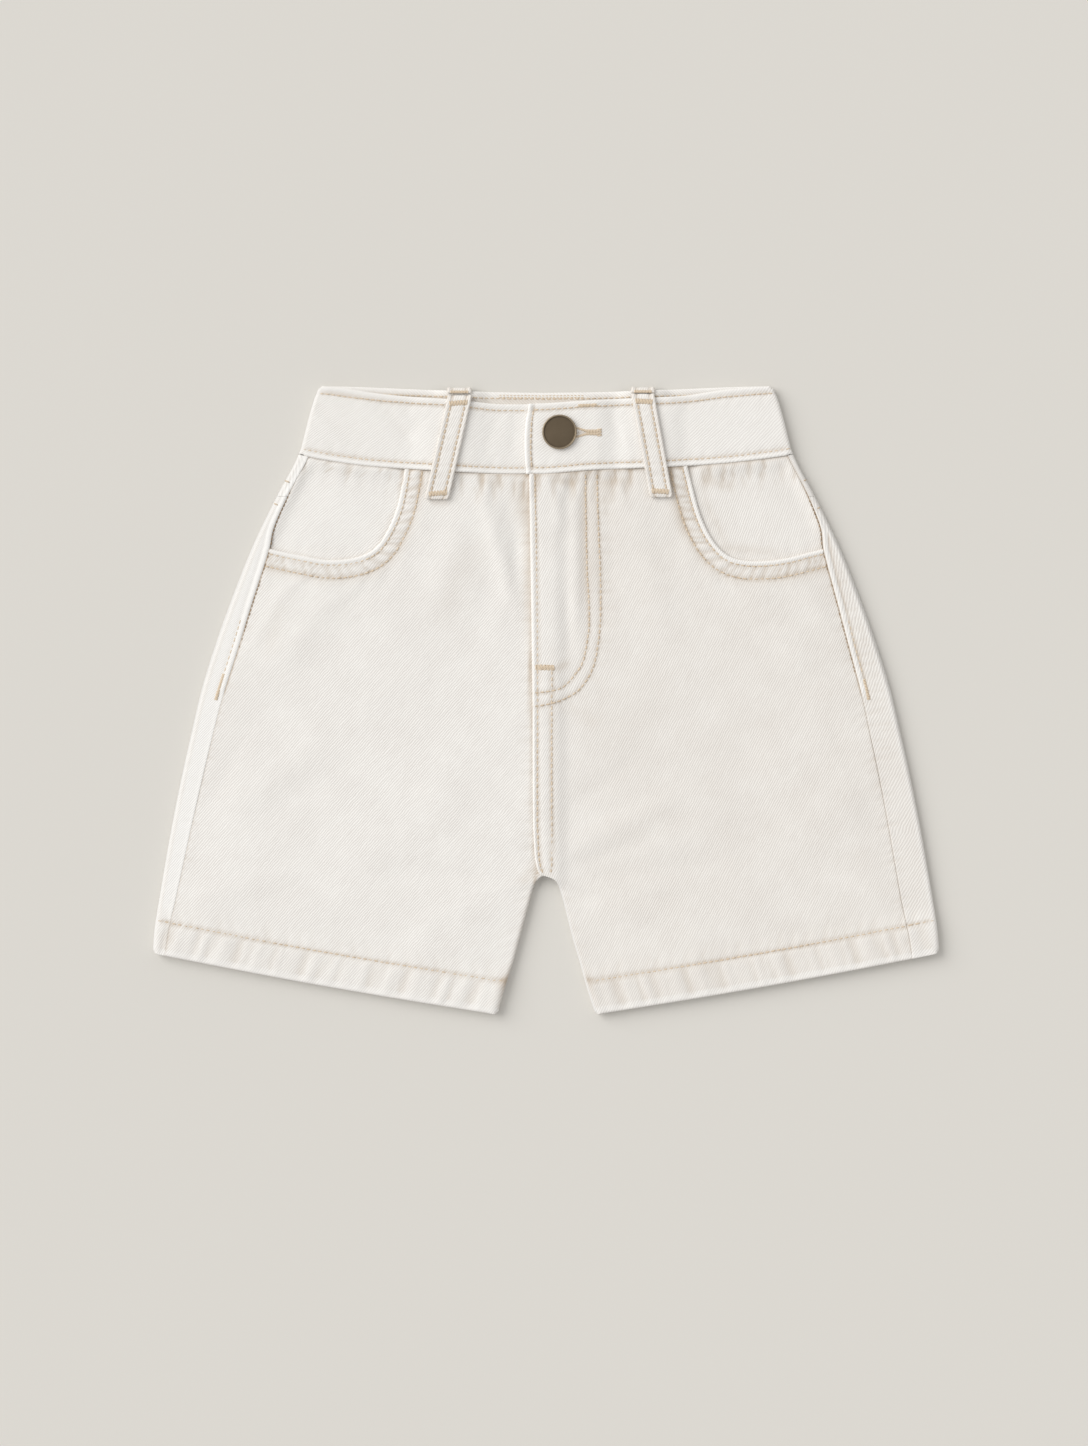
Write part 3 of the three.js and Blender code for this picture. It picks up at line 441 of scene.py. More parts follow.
def hem_y(x):
    """Height of the hem: a straight line from the inside leg to the outer fold, bowed down by half a sine."""
    t = np.clip((np.abs(x) - HEM_CORNER[0]) / (HEM_CORNER[1] - HEM_CORNER[0]), 0, 1)
    return mix(HEM_INNER, HEM_OUTER, t) - HEM_BOW * np.sin(np.pi * t)


def above_hem(x, y):
    """Distance up from the hem."""
    return y - hem_y(x)


def top_point(x, side_y):
    """Point on the top of a leg near the outer fold, on the row that starts at side_y: the row is
    shifted as the waist seam and the hem are, blended by its share v of the side's length."""
    v = (WAIST_SIDE - side_y) / (WAIST_SIDE - HEM_OUTER)
    return x, side_y + (1 - v) * (front_seam_y(x) - WAIST_SIDE) + v * (hem_y(x) - HEM_OUTER)


def seam_point(side, side_y, margin):
    """Point on the side seam's line, or a margin inside it, on the row that starts at side_y."""
    inset = read(SIDE_SEAM, column(side), side_y) + margin
    return top_point(fold_x(side, side_y) - sign(side) * inset, side_y)


def seam_path(side, margin=0.0, top=WAIST_SIDE, bottom=HEM_OUTER, count=120):
    """The side seam's line from the row that starts at top to the one that starts at bottom."""
    return line(*seam_point(side, np.linspace(top, bottom, count), margin))


def seam_part(side, margin, top, bottom):
    """The part of the side seam's line between two heights on the garment."""
    path = seam_path(side, margin, count=500)
    return path[(path[:, 1] < top) & (path[:, 1] > bottom)]


def flat_height(x, y):
    """Height of the leg laid flat: thicker at the hem, with a smooth step above it."""
    return mix(FLAT_HEM, FLAT, ease(HEM_DEPTH - 4, HEM_DEPTH + 12, above_hem(x, y)))


def wall_at(x, y):
    """Thickness of the cloth: the hem's wall, then one layer's above it."""
    return mix(HEM_WALL, WALL, ease(HEM_DEPTH, HEM_DEPTH + 3, above_hem(x, y)))


def crease(fold, x, y):
    """Height of one crease: a bell across its line, faded in at its first end and out at its second."""
    x0, y0, x1, y1, width, height = fold
    dx, dy = x1 - x0, y1 - y0
    length2 = dx * dx + dy * dy
    along = ((x - x0) * dx + (y - y0) * dy) / length2
    across = ((x - x0) * dy - (y - y0) * dx) / math.sqrt(length2)
    return height * window(-0.12, 0.2, 0.75, 1.12, along) * bell(across, width)


def creases(table, x, y):
    """Sum of a table's creases."""
    return sum(crease(fold, x, y) for fold in table)


def front_height(x, y):
    """Outer height of the front: flat, puffed a little between the folds, and creased."""
    outer = half_width(y) - np.abs(x)
    inner = np.abs(x) - np.abs(edge_x(BACK_EDGE, "right", y)) + 60 * ease(CROTCH_Y - 14, CROTCH_Y + 6, y)
    soft = ease(0, 26, np.maximum(0, np.minimum(outer, inner) - 10))
    above = ease(HEM_DEPTH, HEM_DEPTH + 14, above_hem(x, y))
    return flat_height(x, y) + soft * (PUFF * above + creases(FOLDS, x, y))


def back_rise(x, y):
    """How far the back is lifted off the floor by the belt loops under it."""
    centre, width = (np.where(x < 0, BACK_LOOPS["left"][k], BACK_LOOPS["right"][k]) for k in (0, 1))
    across = fade(width / 2 + 1.2, width / 2 + 10, np.abs(x - centre))
    return LOOP_RISE * across * ease(BACK_LOOP_FOOT - 14, BACK_LOOP_FOOT - 2, y)


def front_loop_x(side, y):
    """Centre of a front belt loop, on the straight line from its foot to its top."""
    (top_x, top_y), (foot_x, foot_y) = LOOPS[side]["top"], LOOPS[side]["foot"]
    return mix(foot_x, top_x, (y - foot_y) / (top_y - foot_y))


def clear_of_loops(x, y):
    """0 under the front belt loops, 1 away from them, with smooth steps between."""
    covered = 0
    for side, loop in LOOPS.items():
        half, foot_y = loop["width"] / 2, loop["foot"][1]
        across = fade(half, half + 5, np.abs(x - front_loop_x(side, y)))
        covered = np.maximum(covered, across * ease(foot_y - 6, foot_y - 1, y))
    return 1 - covered


def fold_reach(angles):
    """Distance from a fold's middle to its surface, as a share of the radius, by the angle: one over the
    root, at FOLD_POWER, of the sum of the sine and the cosine to that power."""
    return (np.abs(np.sin(angles)) ** FOLD_POWER + np.abs(np.cos(angles)) ** FOLD_POWER) ** (-1 / FOLD_POWER)


def fold_profile(radius, short):
    """Height of a fold's surface over its middle, a distance short of the fold's middle line: the root,
    at FOLD_POWER, of the radius to that power less the distance to that power."""
    return np.clip(radius**FOLD_POWER - np.abs(short) ** FOLD_POWER, 0, None) ** (1 / FOLD_POWER)


def round_fold(x, y, height):
    """Height of cloth that turns round the outer fold: half its height, and fold_profile over that."""
    radius = height / 2
    reach = np.clip(half_width(y) - np.abs(x), 0, radius)
    return radius + fold_profile(radius, radius - reach)


def curl_at(y):
    """1 on the inside legs, where front and back curl round to meet, and 0 above the crotch."""
    return fade(-103, -97.5, y)


def lap_rise(x, y):
    """How far the right front is lifted where it laps over the left one."""
    return STEP * fade(4, 13, x) * ease(-106, -98, y)


# Meshes

def placed(name, points, faces):
    """Smooth-shaded object at the origin from points in mm and a list of faces that point outwards."""
    mesh = bpy.data.meshes.new(name)
    mesh.from_pydata((points * MM).tolist(), [], faces)
    mesh.polygons.foreach_set("use_smooth", np.ones(len(mesh.polygons), bool))
    mesh.update()
    piece = bpy.data.objects.new(name, mesh)
    bpy.context.collection.objects.link(piece)
    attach(piece, "root")
    return piece


def paint(mesh, name, values):
    """A number for each point of a mesh, as a named attribute."""
    mesh.attributes.new(name, "FLOAT", "POINT").data.foreach_set("value", values.astype(np.float32))


def quad_object(name, points, faces, tint):
    """Object from faces of four corners, turned to face outwards, with its tint. The faces are turned
    where the volume is negative: the sum of a . (b x c) + a . (c x d) over the corners a, b, c, d."""
    a, b, c, d = (points[faces[:, k]] for k in range(4))
    volume = np.einsum("ij,ij->i", a, np.cross(b, c)).sum() + np.einsum("ij,ij->i", a, np.cross(c, d)).sum()
    piece = placed(name, points, (faces[:, ::-1] if volume < 0 else faces).tolist())
    paint(piece.data, "tint", tint)
    return piece


def grid_faces(rows, cols):
    """Faces between the points of a grid that is numbered row by row."""
    i = np.arange(rows * cols).reshape(rows, cols)
    return np.stack([i[:-1, :-1], i[:-1, 1:], i[1:, 1:], i[1:, :-1]], axis=-1).reshape(-1, 4)


def weld(points, faces):
    """Joins points that are at one place in plan, and renumbers the faces."""
    _, first, inverse = np.unique(np.round(points, 4), axis=0, return_index=True, return_inverse=True)
    return points[first], inverse.reshape(-1)[faces]


def thickened(outer, inner, faces):
    """Closed shell: the outer skin, the inner skin turned over, and a rim along every free edge."""
    n = len(outer)
    edges = np.concatenate([faces[:, [k, (k + 1) % 4]] for k in range(4)])
    ordered = np.sort(edges, axis=1)
    _, inverse, uses = np.unique(ordered, axis=0, return_inverse=True, return_counts=True)
    free = edges[uses[inverse.reshape(-1)] == 1]
    rim = np.stack([free[:, 1], free[:, 0], free[:, 0] + n, free[:, 1] + n], axis=1)
    return np.vstack([outer, inner]), np.vstack([faces, faces[:, ::-1] + n, rim])


def turned(x, y, angle):
    """Weave coordinates: u along the wale, v across it."""
    a = math.radians(angle)
    return np.stack([x * math.cos(a) + y * math.sin(a), y * math.cos(a) - x * math.sin(a)], axis=-1)


def soften_corners(points):
    """Rounds the garment's corners in plan: hems at both folds and inside legs, and the waist's ends.
    Within the radius of two edges, the square's distances are scaled to a circle's."""
    x, y, z = points.T.copy()
    side = np.where(x < 0, -1, 1)
    half = half_width(y)
    inner_x = np.where(x < 0, -edge_x(FRONT_EDGE, "left", y), edge_x(FRONT_EDGE, "right", y))
    corners = [
        (half - np.abs(x), above_hem(x, y), -1, -1, 3.0), (np.abs(x) - inner_x, above_hem(x, y), 1, -1, 2.4),
        (half - np.abs(x), back_top_y(x) - y, -1, 1, 2.6),
    ]
    for from_side, from_end, x_way, y_way, radius in corners:
        u, v = radius - np.clip(from_side, 0, radius), radius - np.clip(from_end, 0, radius)
        length = np.hypot(u, v)
        scale = np.where(length > 0, np.maximum(u, v) / np.maximum(length, 1e-9), 1)
        x = x + side * x_way * u * (1 - scale)
        y = y - y_way * v * (1 - scale)
    return np.column_stack([x, y, z])


def cloth(node, outer, inner, tint, faces=None, weave=None, inside=None, fold_shade=None):
    """Thin closed cloth piece in place of a solid, from its outer and inner points, which are a grid
    where no faces are given. It also works out its outer area and the box round its weave's place,
    which nothing uses."""
    faces = grid_faces(*outer.shape[:2]) if faces is None else faces
    outer, inner = outer.reshape(-1, 3), inner.reshape(-1, 3)
    plan = outer[:, :2] if weave is None else weave.reshape(-1, 2)
    points, all_faces = thickened(soften_corners(outer), soften_corners(inner), faces)
    inside = tint if inside is None else inside
    tint = np.concatenate([tint.ravel(), inside.ravel()])
    piece = quad_object(f"{node}_cloth", points, all_faces, tint)
    if fold_shade is not None:
        paint(piece.data, "fold_shade", np.concatenate([fold_shade.ravel(), 0 * fold_shade.ravel()]))
    corner = np.empty(len(piece.data.loops), np.int32)
    piece.data.loops.foreach_get("vertex_index", corner)
    uv = np.tile(turned(plan[:, 0], plan[:, 1], WALE.get(node, LOOP_WALE)), (2, 1))
    layer = piece.data.uv_layers.new(name="weave")
    layer.data.foreach_set("uv", (uv[corner] * MM).astype(np.float32).ravel())
    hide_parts(node)
    a, b, c, d = (outer[faces[:, k]] for k in range(4))
    area = 0.5 * np.linalg.norm(np.cross(c - a, d - b), axis=1).sum()
    size = np.ptp(plan, axis=0)
    area = float(np.clip(area, 0.31 * size[0] * size[1], size[0] * size[1]))
    return piece


def side_by_side(parts):
    """Outer points, inner points and tint of grids that are joined side by side. Each part has the
    outer x, y and z, the inner x, y and z, and the tint."""
    stack = [np.hstack([part[k] for part in parts]) for k in range(7)]
    return np.stack(stack[:3], axis=-1), np.stack(stack[3:6], axis=-1), stack[6]


def places(length, spacing, start=True, end=True):
    """Shares of a length at an even spacing, with close ones where an edge is rounded."""
    low, high = (EDGE_STOPS if close else EDGE_STOPS[:1] for close in (start, end))
    count = max(2, int(round((length - low[-1] - high[-1]) / spacing)) + 1)
    middle = np.linspace(low[-1], length - high[-1], count)
    return np.concatenate([low[:-1], middle, (length - high[:-1])[::-1]]) / length


def gathered(shares, at, extra=0.06, width=0.03):
    """Shares of a length drawn together round one place: evenly spread on the curve
    s + extra tanh((s - at) / width)."""
    s = np.linspace(0, 1, 2001)
    spread = s + extra * np.tanh((s - at) / width)
    return np.interp(shares, (spread - spread[0]) / (spread[-1] - spread[0]), s)


def patch(top, bottom, left, right):
    """Coons patch of plan points (rows, cols, 2) from four edges sampled in step: the blend across
    plus the blend down, less the blend of the corners."""
    u, v = (lengths(path) / path_length(path) for path in (top, left))
    u, v = u[None, :, None], v[:, None, None]
    across = (1 - v) * top[None] + v * bottom[None]
    down = (1 - u) * left[:, None] + u * right[:, None]
    corners = ((1 - u) * (1 - v) * top[0] + u * (1 - v) * top[-1]
               + (1 - u) * v * bottom[0] + u * v * bottom[-1])
    return across + down - corners


def path_length(path):
    """Length of a polyline."""
    return float(lengths(path)[-1])


def edge_drop(distance, radius):
    """How far a rounded edge falls below the cloth's face at a distance from it: a quarter circle."""
    t = 1 - np.clip(distance / radius, 0, 1)
    return radius * (1 - np.sqrt(np.clip(1 - t * t, 0, 1)))


def row_effect(distance, along, depth, width, phase=0.0):
    """What a row of stitches does to the cloth, in height and tint: a bell-shaped groove across the
    row, which a cosine along it deepens to a dimple at every stitch. The tint is painted shade in the
    groove and its dimples."""
    dimple = 1 + 0.35 * np.cos(2 * np.pi * along / STITCH_PITCH + phase)
    groove = bell(distance, width) * dimple
    return -depth * groove, 0.5 * groove


# What the seams do to the cloth. Each function gives a change of height and of tint, the tint mostly
# painted shade in grooves and hollows and painted highlight on raised welts and edges.

def pocket_relief(side, x, y):
    """Below a pocket mouth: a raised lip with a painted highlight, two rows, puckers between them and
    long ones below, with painted shade in the rows' grooves, in the puckers' hollows and beside the
    outer row.
    """
    along, d = beside(rounded(POCKET[side]), x, y)
    d = -sign(side) * d
    dz1, t1 = row_effect(d - POCKET_ROWS[0], along, 0.32, 1.0)
    dz2, t2 = row_effect(d - POCKET_ROWS[1], along, 0.3, 1.1, 1.1)
    between = window(2.6, 4.5, 9.0, 11.5, d)
    waves = pucker(along + 0.5 * d, 4.6, 0.4)
    long_waves = pucker(along - 0.6 * d, 13.0, 1.2) * window(9, 12, 13, 25, d)
    lip = window(0.3, 1.0, 2.0, 2.8, d)
    dz = dz1 + dz2 + 0.3 * between * waves + 0.18 * long_waves + 0.25 * lip
    tint = t1 + t2 + 0.42 * between * hollows(waves - 0.15) + 0.12 * bell(d - 12, 2.5) - 0.7 * lip
    inside = (d > -0.2) & (d < 26)
    return np.where(inside, dz, 0), np.where(inside, tint, 0)


def waist_relief(x, y):
    """Below the waist seam: two trains of puckers that fade out, and a rise beside the lap, with painted
    shade in the puckers' hollows and along the seam.
    """
    d = front_seam_y(x) - y
    waves = pucker(x + 0.15 * d, 8.2, 2.0) + 0.5 * pucker(x - 0.2 * d, 4.3, 0.7)
    near = window(-0.5, 1.0, 3, 20, d)
    under_tab = 0.9 * fade(0.5, 6, d) * window(6, 14, 32, 44, x)
    return 0.3 * near * waves + under_tab, 0.5 * near * hollows(waves) + 0.4 * bell(d, 1.3)


def hem_relief(x, y):
    """The hem: slanting ropy waves on its band, a row along its top, and small puckers above that, with
    painted shade in their hollows and the row, and a painted highlight near the folded edge.
    """
    d, across = above_hem(x, y), np.abs(x)
    band = window(-0.5, 2.5, HEM_DEPTH - 2.5, HEM_DEPTH + 1, d)
    roping = 0.75 * pucker(across + 0.42 * d, 14.5, 0.9) + 0.5 * pucker(across + 0.3 * d, 7.3, 2.6)
    dz, tint = row_effect(d - HEM_ROW, x, 0.36, 1.1)
    above = window(HEM_DEPTH, HEM_DEPTH + 2, HEM_DEPTH + 3, HEM_DEPTH + 14, d)
    upper = pucker(across - 0.2 * d, 7.4, 3.0)
    dz = dz + 0.42 * band * roping + 0.16 * above * upper
    tint = tint + 0.22 * band * hollows(roping) + 0.12 * above * hollows(upper)
    return dz, tint + 0.01 * band - 0.5 * band * fade(1.5, 4, d)


def side_relief(side, x, y, on_back):
    """Beside the side seam: the back's edge is lifted by the allowances, with a welt under a painted
    highlight, puckers and a stitched groove down to the bar tack, and the front's edge goes under it.
    The tint is painted shade along the seam, in the groove and in the puckers' hollows."""
    along, d = beside(seam_path(side), x, y)
    d = np.abs(d)
    start = ease(12, 24, along)
    stitched = fade(136, 140, along) * start
    if not on_back:
        waves = pucker(along - 0.3 * d, 6.3, 1.5) * bell(d - 1.5, 4.0)
        dz = mix(-0.04, -0.1, stitched) * fade(0, 2.4, d) + 0.14 * waves
        return dz, 0.16 * hollows(waves) * bell(d, 5) + mix(0.3, 0.95, stitched) * bell(d, 0.6)
    groove = bell(d - 3.5, 0.9)
    welt = window(0.2, 0.8, 2.4, 3.1, d)
    waves = pucker(along, 6.3, 1.5) * bell(d - 2, 3.5)
    lift = 0.14 * window(0, 0.8, 3.4, 6.5, d) + 0.2 * welt
    thin_welt = 0.12 * bell(d - 0.9, 0.6) * (1 - stitched)
    dz = lift * start * stitched + thin_welt + 0.1 * waves - 0.3 * groove * stitched
    if side == "right":
        bands = pucker(along, 5.2, 2.2) * window(24, 50, 150, 200, along) * bell(d - 7.5, 6)
        dz, waves = dz + 0.16 * bands, waves + 1.6 * bands
    tint = groove * stitched * (0.4 + 0.3 * ease(80, 128, along)) - 0.6 * welt * stitched
    return dz, tint + 0.1 * hollows(waves) + mix(0.25, 0.55, stitched) * bell(d, 0.4)


def centre_rows(y):
    """Plan x of the lap's edge row and of the second row below the fly."""
    edge = edge_x(FRONT_EDGE, "right", y)
    return edge + mix(2.3, 3.3, ease(-100, 60, y)), mix(2.6, 3.2, ease(-97, -88, y))


def lap_relief(side, x, y):
    """The centre front. On the left, puckers beside the lap's edge and the lap's painted shadow along it.
    On the right, a welt on that edge under a painted highlight, the two rows of the centre seam, and the
    fly's curve with wrinkles outside it, with painted shade in the rows and in the wrinkles' hollows."""
    in_body = ease(-98, -92, y)
    lap_edge = edge_x(FRONT_EDGE, "right", y)
    waves = pucker(y, 6.6, 0.2)
    if side == "left":
        near = fade(1, 9, lap_edge - x) * in_body
        return 0.14 * near * waves, 0.14 * near * hollows(waves) + 0.45 * bell(lap_edge - x, 1.2) * in_body
    first, second = centre_rows(y)
    dz1, t1 = row_effect(x - first, y, 0.32, 1.0)
    dz2, t2 = row_effect(x - second, y, 0.32, 1.0)
    below_fly = fade(14, 18, y)
    between = ease(first + 0.8, first + 2, x) * fade(second - 1.6, second + 0.6, x)
    dz = dz1 + dz2 * below_fly + between * below_fly * (0.12 * waves + 0.18)
    welt = fade(first - 1.6, first - 0.9, x) * ease(0.4, 0.9, x - lap_edge)
    dz, tint = (dz + 0.22 * welt) * in_body, (t1 + t2 * below_fly - 0.7 * welt) * in_body
    for k, path in enumerate((FLY_INNER, FLY_OUTER)):
        along, d = beside(rounded(path), x, y)
        row, painted_shading = row_effect(d, along, 0.26, 0.95, k)
        dz, tint = dz + row, tint + painted_shading
    wrinkle = pucker(along, 7.6, 1.9) * bell(d - 3.0, 4.0)
    inside_curve = 0.26 * ease(-1.4, 0.2, -d) * (x > -9)
    return dz + inside_curve + 0.14 * wrinkle, tint + 0.12 * hollows(wrinkle)


def inner_leg_relief(side, x, y):
    """Beside the inside leg: soft waves with painted shade in their hollows, a tan strip of painted shade
    along the edge where the cloth curls down, and a tan patch at the hem's corner.
    """
    d = np.abs(x - edge_x(FRONT_EDGE, side, y))
    leg = fade(-108, -98, y)
    waves = pucker(y + 0.4 * d, 7.2, 0.6) * bell(d - 3, 4.5)
    tint_amount = 0.2 * bell(d, 1.8) + 0.5 * bell(d, 4) * bell(above_hem(x, y) - HEM_DEPTH, 5)
    return 0.14 * leg * waves, leg * (0.08 * hollows(waves) + tint_amount)


def front_surface(side, x, y):
    """Outer height and tint of a front panel, away from its own rounded edges: the solid's height,
    fine creases and what each seam does, all of them flat under the belt loops."""
    clear = clear_of_loops(x, y)
    z = front_height(x, y) + (unevenness(x, y) + creases(FINE_FOLDS, x, y)) * clear
    # Tan patches, mostly painted shade with some dirt, and painted shade over the right front
    tint = creases(SHADE_AND_DIRT_PATCHES, x, y)
    if side == "right":
        z, tint = z + lap_rise(x, y), tint + RIGHT_LEG_SHADE * ease(-6, 40, x)
    for dz, painted_shading in (pocket_relief(side, x, y), waist_relief(x, y), hem_relief(x, y),
                      side_relief(side, x, y, False), lap_relief(side, x, y), inner_leg_relief(side, x, y)):
        z, tint = z + dz * clear, tint + painted_shading
    return z, tint


# Fronts and pocket facings

def edge_path(side, top, bottom, count=140):
    """A front's inner edge as points from one height to another."""
    y = np.linspace(top, bottom, count)
    return line(edge_x(FRONT_EDGE, side, y), y)


def pocket_mouth(side):
    """The curve of a pocket mouth, and the place in it of its knee."""
    mouth = rounded(POCKET[side])
    return mouth, np.linalg.norm(mouth - np.array(POCKET[side][POCKET_KNEE[side]]), axis=1).argmin()


def front_plan(side):
    """Plan points and faces of a front: one patch above the pocket's knee and one below it."""
    mouth, knee = pocket_mouth(side)
    seam = seam_path(side, count=400)
    seam = seam[np.linalg.norm(seam - mouth[-1], axis=1).argmin():]
    shallow = np.vstack([mouth[knee:-1], seam[0]])
    belt_end = np.array([edge_x(FRONT_EDGE, side, BELT_Y), BELT_Y])
    lap_top = edge_x(FRONT_EDGE, side, 124.5)
    upper_edge = edge_path(side, 125, BELT_Y)
    upper_edge[0, 1] = front_seam_y(lap_top)
    upper_edge = resample(upper_edge, np.linspace(0, 1, 80))
    waist_x = np.linspace(mouth[0, 0], lap_top, 80)
    waist = line(waist_x, front_seam_y(waist_x))
    steep = np.vstack([waist[0], mouth[1:knee + 1]])
    belt = np.linspace(mouth[knee], belt_end, 60)
    lower_edge = edge_path(side, BELT_Y, HEM_INNER, 2400)
    hem_x = np.linspace(seam[-1, 0], lower_edge[-1, 0], 90)

    across_out = places(path_length(shallow), FRONT_SPACING, end=False)
    across_in = places(path_length(belt), FRONT_SPACING)
    down_up = places(path_length(steep), FRONT_SPACING, end=False)
    down_low = gathered(places(path_length(seam), FRONT_SPACING * 0.9),
                        (BELT_Y - CROTCH_Y) / (BELT_Y - HEM_INNER) + 0.02)
    belt_points = resample(belt, across_in)
    top = np.vstack([resample(shallow[::-1], across_out)[:-1], belt_points])
    hem = resample(line(hem_x, hem_y(hem_x)), lengths(top) / path_length(top))
    lower = patch(top, hem, resample(seam, down_low), resample(lower_edge, down_low))
    upper = patch(resample(waist, across_in), belt_points, resample(steep, down_up),
                  resample(upper_edge, down_up))
    points = np.vstack([lower.reshape(-1, 2), upper.reshape(-1, 2)])
    upper_faces = grid_faces(*upper.shape[:2]) + lower.shape[0] * lower.shape[1]
    return *weld(points, np.vstack([grid_faces(*lower.shape[:2]), upper_faces])), mouth


def make_front(side):
    """Front panel: outer skin at the surface's height, inner skin a wall below it. Their edges fall
    in quarter circles, or by fold_profile where the inside leg curls down to the back."""
    plan, faces, mouth = front_plan(side)
    x, y = plan.T
    z, tint = front_surface(side, x, y)
    wall = wall_at(x, y)
    level = front_height(x, y) + (lap_rise(x, y) if side == "right" else 0)
    low = level - wall + np.minimum(0, z - level)
    paths = mouth, seam_path(side), edge_path(side, 126, HEM_INNER - 4, 300)
    to_mouth, to_seam, to_edge = (np.abs(beside(path, x, y)[1]) for path in paths)
    curl = curl_at(y)
    drop = np.maximum.reduce([
        edge_drop(to_mouth, 0.75), edge_drop(to_seam, 0.16), edge_drop(front_seam_y(x) - y, 0.5),
        edge_drop(above_hem(x, y), 1.1), edge_drop(to_edge, 0.7) * (1 - curl)])
    rise = np.minimum(drop, wall / 2 - 0.05)
    middle = level / 2
    reach = np.clip(to_edge, 0, middle)
    folded = reach < middle
    arc = np.maximum(fold_profile(middle, middle - reach), FOLD_LEAST)
    arc_in = np.maximum(fold_profile(middle - wall, middle - reach), FOLD_LEAST)
    curled = middle + arc + (z - level) * np.clip(reach / middle, 0, 1)
    outer_z = mix(z - drop, curled - np.where(folded, 0, drop), curl)
    inner_z = mix(low + rise, np.where(folded, middle + arc_in, low + rise), curl)
    # Painted shade on a curled inside-leg edge that faces left into the light, to darken it
    facing_side = "left" if side == "right" else "right"
    fold_shade = PAINTED_FOLD_SHADE[facing_side] * curl * ease(0.3, 0.85, 1 - reach / middle)
    inner = np.column_stack([x, y, np.minimum(inner_z, outer_z - 0.1)])
    return cloth(f"front_{side}", np.column_stack([x, y, outer_z]), inner, tint, faces, fold_shade=fold_shade)


def make_facing(side):
    """Pocket facing: the corner of the leg seen through the pocket mouth, one layer lower. Its
    points are a patch between waist, side seam and a line a little under the mouth."""
    s = sign(side)
    mouth, knee = pocket_mouth(side)
    under = offset(mouth, -s * POCKET_UNDER)
    inner_edge, lower_edge = under[: knee + 1], under[knee:][::-1]
    seam = seam_path(side, top=134.7, bottom=60, count=200)
    seam = seam[: np.abs(seam[:, 1] - (lower_edge[0, 1] + 1.5)).argmin() + 1]
    lower_edge = np.vstack([seam[-1], lower_edge[(lower_edge[:, 0] - seam[-1, 0]) * s < -1]])
    top_x = np.linspace(seam[0, 0], inner_edge[0, 0], 60)
    top = line(top_x, front_seam_y(top_x))
    inner_edge = np.vstack([top[-1], inner_edge[1:]])
    across = places(path_length(top), FACING_SPACING, end=False)
    down = places(path_length(seam), FACING_SPACING, False, False)
    grid = patch(resample(top, across), resample(lower_edge, across), resample(seam, down),
                 resample(inner_edge, down))
    x, y = grid[..., 0], grid[..., 1]
    level = front_height(x, y) - STEP
    along, d = beside(mouth, x, y)
    d = np.abs(d)
    dz_waist, tint = waist_relief(x, y)
    dz_side, painted_shading = side_relief(side, x, y, False)
    # Painted light on the left facing, a little painted shade on the right one, and painted shadow under the
    # pocket mouth's edge
    open_tint = PAINTED_LIGHT if side == "left" else 0.04
    shade = open_tint + (0.12 - open_tint) * bell(d, 2.4)
    z = level + 0.16 * bell(d - 4, 5) * pucker(along, 9.5, 0.8) + 0.3 * unevenness(x, y)
    z = np.minimum(z, level + 0.25)
    to_seam, to_waist = np.abs(beside(seam, x, y)[1]), front_seam_y(x) - y
    at_side = fade(0.5, 6, to_seam) * mix(0.7 * ease(86, 96, y), 1, ease(100, 116, y))
    at_waist = fade(0.5, 9, to_waist) * ease(2, 10, np.abs(x) - abs(mouth[0, 0]))
    z = z + 1.4 * np.maximum(at_side, at_waist) + (dz_waist + 0.6 * dz_side) * ease(1, 6, d)
    z = z - edge_drop(to_seam, 0.4) - edge_drop(to_waist, 0.4)
    inner = np.stack([x, y, np.minimum(level - WALL, z - 0.2)], axis=-1)
    return cloth(f"pocket_facing_{side}", np.stack([x, y, z], axis=-1), inner,
                 tint + creases(SHADE_AND_DIRT_PATCHES, x, y) + painted_shading + shade)


# Backs and yokes

# Lines across the back: height at the centre or inside leg, height at the outer fold, and the curve
WAIST_LINE = WAIST_BACK, WAIST_SIDE, back_seam_y
YOKE_LINE = YOKE_BACK, YOKE_SIDE, yoke_seam
HEM_LINE = HEM_INNER, HEM_OUTER, hem_y


def seat_relief(x, y):
    """Underside: the rows of the seat seam, the yoke seam and the hem as grooves from below, the
    hem's ropy waves, and long puckers beside the two seams."""
    yoke = yoke_seam(x)
    body = ease(-92, -86, y)
    d = above_hem(x, y)
    rows = [(x - place, y, body) for place in SEAT_ROWS]
    rows += [(y - yoke - place, x, 1) for place in YOKE_ROWS]
    groove, tint = 0, 0
    for distance, along, mask in [*rows, (d - HEM_ROW, x, 1)]:
        dz, painted_shading = row_effect(distance, along, 0.24, 0.9)
        groove, tint = groove - dz * mask, tint + painted_shading * mask
    band = window(0, 2.5, HEM_DEPTH - 2.5, HEM_DEPTH + 1, d)
    roping = pucker(np.abs(x) + 0.85 * d, 15.5, 2.4)
    waves = pucker(y, 7.0, 0.5) * bell(x - 6, 7) * body + pucker(x, 8.0, 1.0) * bell(y - yoke - 6, 6)
    to_seams = np.minimum(np.abs(x - 6) + 40 * (1 - body), np.abs(y - yoke - 6))
    groove = groove + 0.16 * band * (1 + roping) + 0.1 * (1 + waves) * bell(to_seams, 9)
    return groove, tint + 0.16 * band * np.clip(roping, 0, 1)


